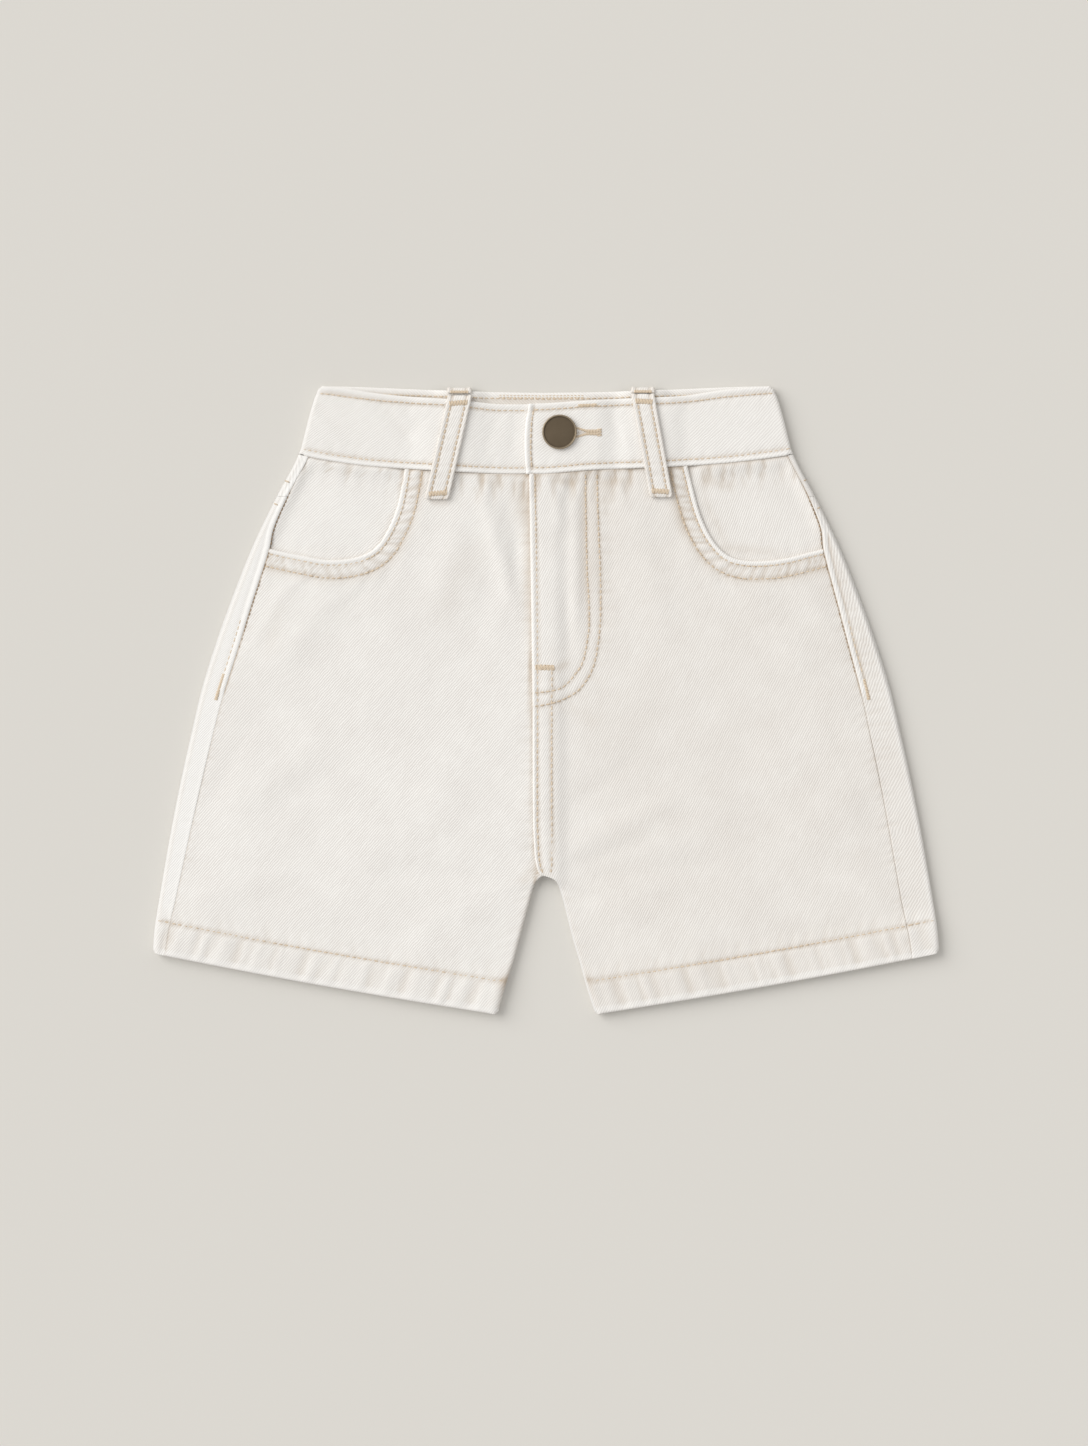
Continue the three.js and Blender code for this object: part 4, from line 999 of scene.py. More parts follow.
def make_back(node, side, top, bottom, spacing):
    """Back or yoke between two lines: under the body from the seat seam or the curled inside leg,
    round the outer fold by fold_reach, and over the top of the leg to the side seam."""
    s = sign(side)
    length = abs(bottom[0] - top[0])
    v = places(length, spacing)
    if length > 100:
        v = gathered(places(length, spacing * 0.85), (top[0] - CROTCH_Y + 1.5) / length, 0.05, 0.02)
    v = v[:, None]
    edge_y, side_y = mix(top[0], bottom[0], v), mix(top[1], bottom[1], v)
    edge, fold = edge_x(BACK_EDGE, side, edge_y), fold_x(side, side_y)
    width = np.abs(fold - edge)
    height = flat_height(fold, side_y)
    radius = height / 2
    from_ends = np.minimum(v * length, (1 - v) * length)

    def under_point(u):
        """Point at share u of a row from the inner edge to the fold: on the straight line between
        them, shifted as the panel's top and bottom lines curve, blended by v."""
        y = mix(edge_y, side_y, u)
        for (inner_y, outer_y, curve), weight in ((top, 1 - v), (bottom, v)):
            line_x = mix(edge_x(BACK_EDGE, side, inner_y), fold_x(side, outer_y), u)
            y = y + weight * (curve(line_x) - mix(inner_y, outer_y, u))
        return mix(edge, fold, u), y

    flat_stops = np.linspace(0, 1, int(150 / (2 * spacing)))[None, 1:]
    last = BACK_EDGE_STOPS[-1]
    to_fold = width - FLAT_HEM / 2 - 0.4 - last
    distance = np.hstack([np.repeat(BACK_EDGE_STOPS[None], len(v), 0), last + to_fold * flat_stops])
    x, y = under_point(distance / width)
    rise = back_rise(x, y)
    groove, tint = seat_relief(x, y)
    wall = wall_at(x, y)
    curl = curl_at(edge_y)
    middle = flat_height(x, y) / 2
    reach = np.minimum(distance, middle)
    folded = reach < middle
    arc = np.maximum(fold_profile(middle, middle - reach), FOLD_LEAST)
    arc_in = np.maximum(fold_profile(middle - wall, middle - reach), FOLD_LEAST)
    soft = np.maximum(edge_drop(from_ends, 0.5), edge_drop(distance, 0.5) * (1 - curl))
    under, flat_in = rise + groove + soft, rise + wall - soft
    outer_z = mix(under, np.where(folded, middle - arc, under), curl)
    inner_z = mix(flat_in, np.where(folded, middle - arc_in, flat_in), curl)
    parts = [(x, y, outer_z, x, y, np.maximum(inner_z, outer_z + 0.1), tint)]

    def fold_points(r):
        """Points round the outer fold, at the radius r times fold_reach, by the angle from below."""
        r = r * fold_reach(FOLD_ANGLES)
        d = radius - r * np.sin(FOLD_ANGLES)
        low_y, high_y = under_point(1 - d / width)[1], top_point(fold - s * d, side_y)[1]
        y = np.where(FOLD_ANGLES < np.pi / 2, low_y, high_y)
        return fold - s * d, y, radius - r * np.cos(FOLD_ANGLES)

    soft = edge_drop(from_ends, 0.45)
    round_outer = fold_points(radius - soft)
    round_inner = fold_points(radius - wall_at(fold, side_y) + soft * 0.5)
    parts.append((*round_outer, *round_inner, 0 * round_outer[0]))

    inset = read(SIDE_SEAM, column(side), side_y)
    wrap_x, wrap_y = top_point(fold - s * mix(radius, inset, WRAP_STOPS), side_y)
    to_seam = (1 - WRAP_STOPS) * (inset - radius)
    dz, painted_shading = side_relief(side, wrap_x, wrap_y, True)
    hem_dz, hem_tint = hem_relief(wrap_x, wrap_y)
    dz = (dz + hem_dz * ease(0, 4, to_seam + 3)) * ease(0, 0.5, WRAP_STOPS)
    soft = np.maximum(edge_drop(to_seam, 0.16), soft)
    top_z = height + dz - soft
    low_z = np.minimum(height - wall_at(wrap_x, wrap_y) + 0.5 * soft, top_z - 0.1)
    # Painted light on the left wrap, which faces the light, and painted shade on the right one
    pale = WRAP_PAINTED_LIGHT[side] * ease(HEM_DEPTH, HEM_DEPTH + 12, above_hem(wrap_x, wrap_y))
    parts.append((wrap_x, wrap_y, top_z, wrap_x, wrap_y, low_z, painted_shading + hem_tint + pale))

    # Painted shade on the outer fold on the side that faces the light
    wear_and_fold_shade = PAINTED_FOLD_SHADE[side] * ease(0.3, 0.85, np.sin(FOLD_ANGLES)) + 0 * round_outer[0]
    outer, inner, tint = side_by_side(parts)
    steps = np.linalg.norm(np.diff(outer, axis=1), axis=2)
    run = np.hstack([edge, s * np.cumsum(steps, axis=1) + edge])
    return cloth(node, outer, inner, tint, weave=np.stack([run, outer[..., 1]], axis=-1),
                 fold_shade=np.hstack([0 * x, wear_and_fold_shade, 0 * wrap_x]))


# Waistband

def band_base(x):
    """Front height of the waistband: over the belt loops it rises, and the lap lies on the other end."""
    body = 5.5 + 1.3 * np.maximum(fade(9, 24, np.abs(x + 53)), fade(9, 22, np.abs(x - 57)))
    return np.where(x > TAB_X - 0.01, mix(TAB_HEIGHT, body, ease(UNDER_X + 2, 42, x)), body)


def under_base(x):
    """Front height of the band's other end, which goes down and under the lap."""
    return mix(band_base(np.minimum(x, TAB_X - 0.1)), UNDER_HEIGHT, ease(-32, -17, x))


def band_relief(x, y, low, high, lapped):
    """Ripples, folds and rows on the front of the band, and welts at its edges. low and high are the
    distances from them. The lapped end also has a row and rim at its edge, and the buttonhole. The tint
    is painted shade in the hollows, grooves and slit, painted highlight on the welt, top edge and rim,
    and painted light over the middle."""
    dz1, t1 = row_effect(low - BAND_GROOVE, x, 0.34, 1.0)
    dz2, t2 = row_effect(high - BAND_TOP_ROW, x, 0.32, 1.0)
    bulge = 0.2 * fade(1.6, 3.2, low) + 0.18 * fade(1.6, 3.4, high)
    middle = ease(3, 8, low) * ease(3, 8, high)
    ripples = pucker(x + 0.9 * (y - 150), 13.5, 0.3) * (0.25 + 0.75 * ease(58, 84, -x))
    small = pucker(x - 0.5 * (y - 150), 6.0, 1.1) * (bell(low - 5, 4) + bell(high - 5.5, 3.5))
    folds = creases(BAND_FOLDS, x, y)
    soft = (0.2 * middle * ripples + 0.14 * small + 0.8 * folds) * clear_of_loops(x, y)
    dz = dz1 + dz2 + bulge + soft
    tint = t1 + t2 + 0.1 * middle * hollows(ripples) + 0.12 * hollows(small) + PAINTED_LIGHT * middle
    welt = window(0.3, 0.8, 1.7, 2.5, low)
    tint = tint + 0.3 * hollows(folds) + 0.2 * bell(low, 0.4) - 0.7 * welt - 0.35 * fade(1.6, 2.6, high)
    if lapped:
        end, from_slot = x - TAB_X, np.abs(y - SLOT_Y)
        dz3, t3 = row_effect(end - LAP_ROW, y, 0.32, 1.0)
        rim = fade(1.7, 2.7, end)
        slot = fade(0.2, 0.7, from_slot) * window(9, 11, 26.6, 27.4, x)
        cell = fade(1.4, 2.4, from_slot) * window(11, 14, 27.5, 29, x)
        dz, tint = dz + dz3 + 0.35 * rim - 0.25 * slot + 0.15 * cell, tint + t3 - 0.6 * rim + 0.6 * slot
    return dz, tint


def bowed(x, y):
    """Lap points moved so that its end follows the bowed edge."""
    return x + (read(LAP_EDGE, 1, y) - TAB_X) * fade(TAB_X + 1, TAB_X + 12, x)


def band_z(x, y, lapped=True):
    """Outer height of the band's front, or of its end that goes under the lap."""
    dz, _ = band_relief(x, y, y - front_seam_y(x), front_top_y(x) - y, lapped)
    return round_fold(x, y, band_base(x) if lapped else under_base(x)) + dz


def make_waistband():
    """One folded strip: from the lap's end over the front, round the right fold, along the back,
    round the left fold, and under the lap. Each column is a line from the seam to the top edge."""
    t = places(BAND_DEPTH, BAND_SPACING)[:, None]
    low, high = t * BAND_DEPTH, (1 - t) * BAND_DEPTH
    radius = float(band_base(124.0)) / 2
    reach = half_width(WAIST_SIDE) - radius - 0.8
    lap_x = np.concatenate([TAB_X + BAND_END_STOPS, np.arange(TAB_X + 4.6, reach, BAND_SPACING), [reach]])
    end_x = np.concatenate([[-reach], np.arange(-reach + BAND_SPACING, UNDER_X - 3.2, BAND_SPACING),
                            (UNDER_X - BAND_END_STOPS)[::-1]])
    soft = edge_drop(np.minimum(t, 1 - t) * BAND_DEPTH, 1.05)

    def laid(stops, seam, edge):
        """Plan x and y of columns at the stops, drawn in near the folds as the silhouette narrows."""
        y = mix(seam(stops)[None], edge(stops)[None], t)
        squeeze = half_width(y) / half_width(WAIST_SIDE)
        return stops[None] * mix(1, squeeze, ease(60, 122, np.abs(stops))[None]), y

    def front_part(stops, base_of, to_end, lapped):
        """Skins and tint of one end of the band on the front: its base and relief, less the quarter
        circles of its edges. to_end gives the distance from its end."""
        x, y = laid(stops, front_seam_y, front_top_y)
        dz, tint = band_relief(x, y, low, high, lapped)
        if not lapped:
            dz = mix(dz, np.minimum(dz, -0.1), ease(TAB_X - 6, TAB_X - 1.5, x))
            tint = tint * (1 - ease(-40, -12, x) * 0.3)
        drop = np.maximum(soft, edge_drop(to_end(x), 1.05))
        base = base_of(x)
        return x, y, base + dz - drop, x, y, base - BAND_WALL + drop * 0.9, tint

    def fold_part(side, angles):
        """Skins and tint round a fold, at a radius times fold_reach, with the two rows as grooves under
        painted shade.
        """
        y = mix(WAIST_SIDE, BAND_TOP, t) + 0 * angles
        groove = 0.25 * bell(low - BAND_GROOVE, 1.0) + 0.25 * bell(high - BAND_TOP_ROW, 1.0) + 0 * angles

        def ring(r):
            """Points at radius r."""
            r = r * fold_reach(angles)
            x = fold_x(side, y) - sign(side) * (radius - r * np.sin(angles))
            return x, y, radius - r * np.cos(angles)

        return (*ring(radius - soft - groove), *ring(radius - BAND_WALL + soft * 0.9), 0.4 * groove)

    x, y = laid(np.linspace(reach, -reach, 150), back_seam_y, back_top_y)
    rise = back_rise(x, y)
    dz1, t1 = row_effect(low - BAND_GROOVE, x, 0.26, 0.9)
    dz2, t2 = row_effect(high - BAND_TOP_ROW, x, 0.26, 0.9)
    back_in = rise + BAND_WALL - soft * 0.9 - 0.25 * bell(high - BAND_TOP_ROW, 0.9)
    # Painted shade on the inside of the back, down in the waist opening and deepest on the left, with a
    # painted highlight along its top edge
    opening = 0.3 + 0.6 * ease(40, 60, -x)
    back_inside = (0.35 * bell(high - BAND_TOP_ROW, 1.0) + opening * ease(3.4, 4.6, high)
                   - 0.3 * fade(1, 2.6, high))

    parts = [
        front_part(lap_x, band_base, lambda x: x - TAB_X, True),
        fold_part("right", BAND_FOLD_ANGLES[:, ::-1]),
        (x, y, rise - dz1 - dz2 + soft, x, y, back_in, t1 + t2),
        fold_part("left", BAND_FOLD_ANGLES),
        front_part(end_x, under_base, lambda x: UNDER_X - x, False),
    ]
    insides, shade_per_part = ([0 * part[6] for part in parts] for _ in range(2))
    insides[2] = back_inside
    # Painted shade on the left fold, which faces the light
    wear_and_fold_shade = ease(0.3, 0.85, np.sin(BAND_FOLD_ANGLES))
    shade_per_part[1] = shade_per_part[1] + PAINTED_FOLD_SHADE["right"] * wear_and_fold_shade[:, ::-1]
    shade_per_part[3] = shade_per_part[3] + PAINTED_FOLD_SHADE["left"] * wear_and_fold_shade
    outer, inner, tint = side_by_side(parts)
    middle_row = outer[len(t) // 2]
    run = np.repeat((TAB_X + lengths(middle_row))[None], len(t), 0)
    weave = np.stack([run, outer[..., 1]], axis=-1)
    for skin in (outer, inner):
        lap = skin[:, : len(lap_x)]
        lap[..., 0] = bowed(lap[..., 0], lap[..., 1])
    return cloth("waistband", outer, inner, tint, weave=weave, inside=np.hstack(insides),
                 fold_shade=np.hstack(shade_per_part))


# Belt loops

def front_loop_path(side):
    """Path (y, z) of a front loop: along the leg, up over the band, and down over its top edge."""
    (top_x, _), (foot_x, foot), width = LOOPS[side].values()
    band = float(band_base(front_loop_x(side, 145.0))) + GAP
    seam = float(front_seam_y(front_loop_x(side, 126.0)))
    leg = float(front_height(foot_x, foot)) + GAP + 0.5
    edge = float(max(front_top_y(top_x - width / 2), front_top_y(top_x + width / 2))) + GAP
    return np.array([
        (foot, leg), (foot + 3, leg), (seam - 5, mix(leg, band, 0.45)), (seam - 1.5, band),
        (seam + 6, band + 0.15), (145, band + 0.2), (edge - 3, band + 0.1), (edge - 0.6, band),
        (edge, band - 0.6), (edge, band - BAND_WALL),
    ])


def back_loop_path(side):
    """Path (y, z) of a back loop: from its lip inside the band, over the top edge and down the back."""
    edge = float(back_top_y(BACK_LOOPS[side][0])) + GAP
    inside = LOOP_RISE + BAND_WALL + GAP
    return np.array([
        (edge - BACK_LOOP_LIP, inside), (edge - 0.4, inside), (edge, inside - 0.4), (edge, LOOP_WALL + 0.4),
        (edge - 0.3, LOOP_WALL), (edge - 2, LOOP_WALL), (146, LOOP_WALL), (124, LOOP_WALL),
        (BACK_LOOP_FOOT, LOOP_WALL),
    ])


def make_loop(node, path, width, centre_x, on_front, weave_start):
    """Belt loop: a strip along its path of (y, z), with rounded edges, and a welt outside each row of
    stitches and a groove at the row. A front loop's foot has corners rounded in plan."""
    path = resample(path, places(path_length(path), 0.8))
    run = np.gradient(path, axis=0)
    run /= np.linalg.norm(run, axis=1)[:, None]
    normal = line(-run[:, 1], run[:, 0])
    half = width / 2
    across = np.concatenate([-half + LOOP_EDGE_STOPS, np.linspace(-half + 5.2, half - 5.2, 5),
                             (half - LOOP_EDGE_STOPS)[::-1]])[None]
    along = lengths(path)[:, None]
    edge = half - np.abs(across)
    end = np.minimum(along, along[-1] - along)
    groove, tint = row_effect(edge - LOOP_ROW, along, 0.26, 0.8)
    waves = pucker(along + 0.3 * edge, 5.2, 0.5)
    bulge = 0.22 * fade(1.4, 2.6, edge) + 0.1 * ease(4, 6, edge) * waves - (0 if on_front else 0.24)
    drop = np.maximum(edge_drop(edge, 0.78), edge_drop(end, 0.7))
    near_foot = edge_drop(along, 1.7) if on_front else 0
    x = centre_x(path[:, :1]) + across * (1 - near_foot / half)

    def skin(height):
        """Points at a height over the path, along its normal."""
        y, z = path[:, :1] + normal[:, :1] * height, path[:, 1:] + normal[:, 1:] * height
        return np.stack([x, y, z], axis=-1)

    outer, inner = skin(LOOP_WALL + groove + bulge - drop), skin(np.minimum(drop, 0.7) * 0.9)
    # Painted shade at the loop's ends and edges and in its waves' hollows
    tint = tint + 0.12 * bell(end, 2.5) + 0.08 * hollows(waves) + 0.22 * bell(edge, 0.7)
    return cloth(node, outer, inner, tint, weave=np.stack([x, along + weave_start + 0 * x], axis=-1))


# Sewing thread

def stitch_shape():
    """One stitch: a flattened six-sided thread that dips at both ends, along +X, unit size."""
    rings = [(-0.5, 0.45, -0.55), (-0.36, 0.9, -0.05), (0.0, 1.0, 0.12), (0.36, 0.9, -0.05),
             (0.5, 0.45, -0.55)]
    angle = np.linspace(0, 2 * np.pi, 7)[:-1]
    points = [(x, 0.5 * size * math.cos(a), 0.5 * size * math.sin(a) + lift * 0.6)
              for x, size, lift in rings for a in angle]
    shade = np.repeat([1.0, 0.4, 0.0, 0.4, 1.0], 6)
    i = np.arange(30).reshape(5, 6)
    sides = [[i[r, c], i[r, (c + 1) % 6], i[r + 1, (c + 1) % 6], i[r + 1, c]]
             for r in range(4) for c in range(6)]
    caps = [[0, 5, 4, 3], [0, 3, 2, 1], [24, 25, 26, 27], [24, 27, 28, 29]]
    return np.array(points), np.array(sides + caps), shade


def stitches_on(centres, tangents, up, length, width, height):
    """Copies of the stitch at centres (n, 3), along tangents (n, 3), with the face given by up."""
    shape, faces, shade = stitch_shape()
    t = tangents / np.linalg.norm(tangents, axis=1)[:, None]
    side = np.cross(np.asarray(up, float)[None], t)
    side /= np.linalg.norm(side, axis=1)[:, None]
    normal = np.cross(t, side)
    points = (centres[:, None] + shape[None, :, :1] * length * t[:, None]
              + shape[None, :, 1:2] * width * side[:, None] + shape[None, :, 2:] * height * normal[:, None])
    count = len(centres)
    faces = (faces[None] + len(shape) * np.arange(count)[:, None, None]).reshape(-1, 4)
    return points.reshape(-1, 3), faces, np.tile(shade, count)


def row_of_stitches(path, surface, pitch=STITCH_PITCH, up=1, lift=0.1):
    """Stitches end to end along a plan path, at the height that surface(x, y) gives. Each one is
    turned and shifted a little by a sine of its number."""
    total = path_length(path)
    count = max(1, int(total / pitch))
    middle = (np.arange(count) + 0.5) / count
    half = 0.35 * pitch / total
    centre, before, after = (resample(path, np.clip(middle + d, 0, 1)) for d in (0, -half, half))
    wobble = 0.12 * np.sin(7.3 * np.arange(count))[:, None]
    run = after - before
    cross = line(-run[:, 1], run[:, 0]) / np.linalg.norm(run, axis=1)[:, None]
    centre = centre + cross * wobble * 0.5
    z, za, zb = (surface(p[:, 0], p[:, 1]) for p in (centre, before, after))
    tangents = np.column_stack([run + cross * wobble, zb - za])
    centres = np.column_stack([centre, z + up * lift])
    length = total / count * STITCH_LENGTH / STITCH_PITCH
    return stitches_on(centres, tangents, (0, 0, up), length, STITCH_WIDTH, 0.5)


def bar_tack(start, end, width, surface):
    """Dense satin stitches across a short line, leaning one way and the other in turn."""
    start, end = np.array(start, float), np.array(end, float)
    length = np.linalg.norm(end - start)
    run = (end - start) / length
    count = int(length / TACK_PITCH) + 1
    centre = mix(start, end, np.linspace(0, 1, count)[:, None])
    lean = 0.12 * np.where(np.arange(count) % 2, 1, -1)[:, None] * run
    tangents = np.column_stack([np.array([-run[1], run[0]]) + lean, np.zeros(count)])
    centres = np.column_stack([centre, surface(centre[:, 0], centre[:, 1]) + 0.12])
    points, faces, shade = stitches_on(centres, tangents, (0, 0, 1), 1.25 * width, TACK_PITCH * 1.05, 0.6)
    return points, faces, 0.55 * shade - 0.12


def joined(name, runs):
    """One mesh from many runs of stitches."""
    points, faces, shades = zip(*runs)
    starts = np.cumsum([0] + [len(part) for part in points[:-1]])
    faces = np.vstack([part + start for part, start in zip(faces, starts)])
    piece = quad_object(name, np.vstack(points), faces, np.concatenate(shades))
    return piece


def back_top_surface(side, x, y):
    """Height of the back where it lies on top, between the outer fold and the side seam."""
    return round_fold(x, y, flat_height(x, y)) + side_relief(side, x, y, True)[0] + hem_relief(x, y)[0]


def sew_front():
    """Every row that shows on the front of the legs."""
    runs = []
    for side in SIDES:
        s = sign(side)

        def surface(x, y):
            """Height of this side's front."""
            return front_surface(side, x, y)[0]

        def back(x, y):
            """Height of this side's back where it wraps over the front."""
            return back_top_surface(side, x, y)

        for distance in POCKET_ROWS:
            row = offset(rounded(POCKET[side]), -s * distance)
            stop = np.abs(seam_point(side, row[:, 1], 0.6)[0])
            row = row[(np.abs(row[:, 0]) < stop) & (row[:, 1] < front_seam_y(row[:, 0]) - 0.6)]
            runs.append(row_of_stitches(row, surface))
        hem_x = np.linspace(s * HEM_ROW_START, seam_point(side, -120.0, 0.4)[0], 160)
        wrap_x = np.linspace(seam_point(side, -120.0, -0.5)[0], fold_x(side, -120.0) - s * 0.9, 20)
        runs.append(row_of_stitches(line(hem_x, hem_y(hem_x) + HEM_ROW), surface))
        runs.append(row_of_stitches(line(wrap_x, hem_y(wrap_x) + HEM_ROW), back))
        runs.append(row_of_stitches(seam_part(side, -3.5, 45, 15), back, lift=-0.05))
        tack = seam_part(side, -3.4, 14.5 if side == "left" else 11.5, 0.4)
        runs.append(bar_tack(tack[0], tack[-1], 1.6, back))
        for x0, y0, x1, y1 in YOKE_ENDS[side]:
            runs.append(row_of_stitches(np.array([(x0, y0), (x1, y1)]), back, pitch=2.6))

    y = np.linspace(123.2, -95, 240)
    first, second = centre_rows(y)
    rows = [line(first, y), line(second, y)[y < 17], rounded(FLY_INNER), rounded(FLY_OUTER)]
    runs += [row_of_stitches(row, surface) for row in rows]
    runs.append(bar_tack((-5.6, 18.0), (4.3, 17.8), 2.2, surface))
    for y in (19.1, 16.7):
        runs.append(row_of_stitches(np.array([(-5.8, y + 0.1), (4.4, y - 0.1)]), surface, pitch=2.0))
    return joined("topstitching_front", runs)


def sew_seams():
    """The row that lies down in each side seam, from the yoke to the bar tack, its thread darkened by painted
    shade.
    """
    runs = []
    for side in SIDES:
        for top, bottom, depth in ((115, 84.5, 0.55), (82.5, 12, 0.3)):
            runs.append(row_of_stitches(seam_part(side, 0.4, top, bottom),
                                        lambda x, y: flat_height(x, y) - depth, pitch=2.3))
    return joined("side_seam_stitching", runs)


def sew_band():
    """Rows along the band's two edges, round the lap's end, and inside the back."""
    def under_lap(x, y):
        """Height of the end that goes under the lap."""
        return band_z(x, y, False)

    def inside(x, y):
        """Height of the inside of the back, in its groove."""
        return back_rise(x, y) + BAND_WALL - 0.25

    runs = []
    under_end, lap_end = TAB_X - 1.2, TAB_X + LAP_ROW
    for seam_ends, top_ends, count, surface in (
            ((-BAND_ROW_END, under_end), (-BAND_TOP_ROW_END, under_end), 160, under_lap),
            ((lap_end, BAND_ROW_END), (lap_end, BAND_TOP_ROW_END), 190, band_z)):
        x, top_x = np.linspace(*seam_ends, count), np.linspace(*top_ends, count)
        runs.append(row_of_stitches(line(x, front_seam_y(x) + BAND_ROW), surface))
        runs.append(row_of_stitches(line(top_x, front_top_y(top_x) - BAND_TOP_ROW), surface))
    end_y = np.linspace(front_seam_y(-7.6) + 3.6, front_top_y(-7.6) - 3.7, 30)
    runs.append(row_of_stitches(line(bowed(np.full(30, lap_end), end_y), end_y), band_z))
    runs.append(bar_tack((18, 161.6), (27.5, 162), 1.5, band_z))
    x = np.linspace(-112, 112, 260)
    runs.append(row_of_stitches(line(x, back_top_y(x) - BAND_TOP_ROW), inside))
    x = np.linspace(-26, 21, 60)
    for below in (2.9, 1.7):
        runs.append(row_of_stitches(line(x, back_top_y(x) - below), inside, pitch=1.9))
    return joined("topstitching_band", runs)


def sew_buttonhole():
    """Keyhole: close stitches on both sides of the slit, and a bar across its end."""
    runs = []
    for way in (1, -1):
        near, neck, far = (13.5, SLOT_Y + 3.4 * way), (22.6, SLOT_Y + 0.7 * way), (28.4, SLOT_Y + 0.75 * way)
        runs += [bar_tack(near, neck, 1.1, band_z), bar_tack(neck, far, 1.5, band_z)]
    runs.append(bar_tack((29.2, 145.1), (29.2, 148.5), 2.2, band_z))
    return joined("buttonhole_stitching", runs)


def sew_loops():
    """Two rows down each front loop and the bar tacks at its ends, and a tack inside each back loop."""
    runs = []
    for side in SIDES:
        width = LOOPS[side]["width"]
        path = front_loop_path(side)
        path = resample(path, np.linspace(0, 1, int(path_length(path) / 0.8) + 1))
        flat = path[path[:, 0] < path[:, 0].max() - 0.4]

        def surface(x, y, rise=-0.2):
            """Height of the loop's face."""
            return np.interp(y, flat[:, 0], flat[:, 1]) + LOOP_WALL + rise

        y = np.linspace(flat[0, 0] + 1.4, flat[-1, 0] - 0.8, 80)
        for inset in (LOOP_ROW - width / 2, width / 2 - LOOP_ROW):
            runs.append(row_of_stitches(line(front_loop_x(side, y) + inset, y), surface))
        half = width / 2 - 2.0
        tilt = half * (0.08 if side == "left" else -0.06)
        for y in (flat[-1, 0] - 2.2, flat[0, 0] + 3.4):
            x = front_loop_x(side, y)
            runs.append(bar_tack((x - half, y - tilt), (x + half, y + tilt), 2.4,
                                 lambda x, y: surface(x, y, 0.05)))
        back_x, back_width = BACK_LOOPS[side]
        half, y = back_width / 2 - 2, float(back_top_y(back_x)) - 0.8
        face = LOOP_RISE + BAND_WALL + GAP + LOOP_WALL - 0.2
        runs.append(bar_tack((back_x - half, y), (back_x + half, y), 1.3, lambda x, y: 0 * x + face))
    return joined("topstitching_loops", runs)


def sew_underside():
    """Rows that show from below: seat, yokes, hems and band. They lie in grooves, clear of the floor."""
    y = np.linspace(WAIST_BACK - 2, -88, 230)
    rows = [line(x, y) for x in SEAT_ROWS]
    for side in SIDES:
        x = sign(side) * np.linspace(1.5, 140, 140)
        rows += [line(x, yoke_seam(x) + distance) for distance in YOKE_ROWS]
        x = sign(side) * np.linspace(HEM_ROW_START, 210, 180)
        rows.append(line(x, hem_y(x) + HEM_ROW))
    x = np.linspace(-128, 128, 260)
    rows += [line(x, back_seam_y(x) + BAND_ROW), line(0.94 * x, back_top_y(0.94 * x) - BAND_TOP_ROW)]
    return joined("topstitching_underside", [
        row_of_stitches(row, lambda x, y: back_rise(x, y) + 0.3, up=-1, lift=0) for row in rows])


# Button

def make_button():
    """Turned profile: shank, flat underside, rolled rim, a step and a dished face. Each of its points
    but the two at the axis is turned round the axis in equal steps."""
    seat, under = TAB_HEIGHT + GAP, UNDER_HEIGHT + GAP
    r = BUTTON_RADIUS
    profile = [(SHANK_RADIUS - 0.15, under), (SHANK_RADIUS, under + 0.15), (SHANK_RADIUS, seat),
               (r - 1.0, seat), (r - 0.45, seat + 0.12), (r - 0.15, seat + 0.5)]
    rim = np.radians(np.linspace(-40, 200, 16))
    profile += [(r - 0.5 + 0.5 * math.cos(a), seat + 1.4 + 0.5 * math.sin(a)) for a in rim]
    profile += [(r - 1.06, seat + 1.02), (r - 1.2, seat + 0.88), (r - 1.45, seat + 0.9)]
    dish = r - 1.8
    face = [(q, seat + 0.98 + 0.2 * math.cos(0.5 * math.pi * q / dish)) for q in np.linspace(dish, 0, 14)]
    ring = np.array(profile + face[:-1])
    sides = 96
    turn = np.linspace(0, 2 * np.pi, sides + 1)[:-1]
    points = np.stack([
        BUTTON_X + ring[:, :1] * np.cos(turn), BUTTON_Y + ring[:, :1] * np.sin(turn),
        np.repeat(ring[:, 1:], sides, 1)], axis=-1).reshape(-1, 3)
    i = np.arange(len(points)).reshape(len(ring), sides)
    following = np.roll(i, -1, axis=1)
    faces = np.stack([i[:-1], following[:-1], following[1:], i[1:]], axis=-1).reshape(-1, 4).tolist()
    first, last = len(points), len(points) + 1
    faces += [[first, int(b), int(a)] for a, b in zip(i[0], following[0])]
    faces += [[last, int(a), int(b)] for a, b in zip(i[-1], following[-1])]
    ends = [[BUTTON_X, BUTTON_Y, under], [BUTTON_X, BUTTON_Y, face[-1][1]]]
    piece = placed("button_metal_cap", np.vstack([points, ends]), faces)
    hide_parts("button")
    return piece


# Shader nodes

def fill(tree, sockets, values):
    """Each socket gets its value: a number, a colour or vector, or a link from another node."""
    for socket, value in zip(sockets, values):
        if isinstance(value, bpy.types.NodeSocket):
            tree.links.new(value, socket)
        elif isinstance(value, tuple) and len(value) < len(socket.default_value):
            socket.default_value = (*value, 1.0)
        else:
            socket.default_value = value


def math_node(tree, operation, *values):
    """Result of a math node."""
    node = tree.nodes.new("ShaderNodeMath")
    node.operation = operation
    fill(tree, node.inputs, values)
    return node.outputs[0]


def scaled(tree, value, factor, shift):
    """value times factor plus shift."""
    return math_node(tree, "MULTIPLY_ADD", value, factor, shift)


def kept(tree, value, low, high):
    """value, kept between low and high."""
    return math_node(tree, "MINIMUM", math_node(tree, "MAXIMUM", value, low), high)


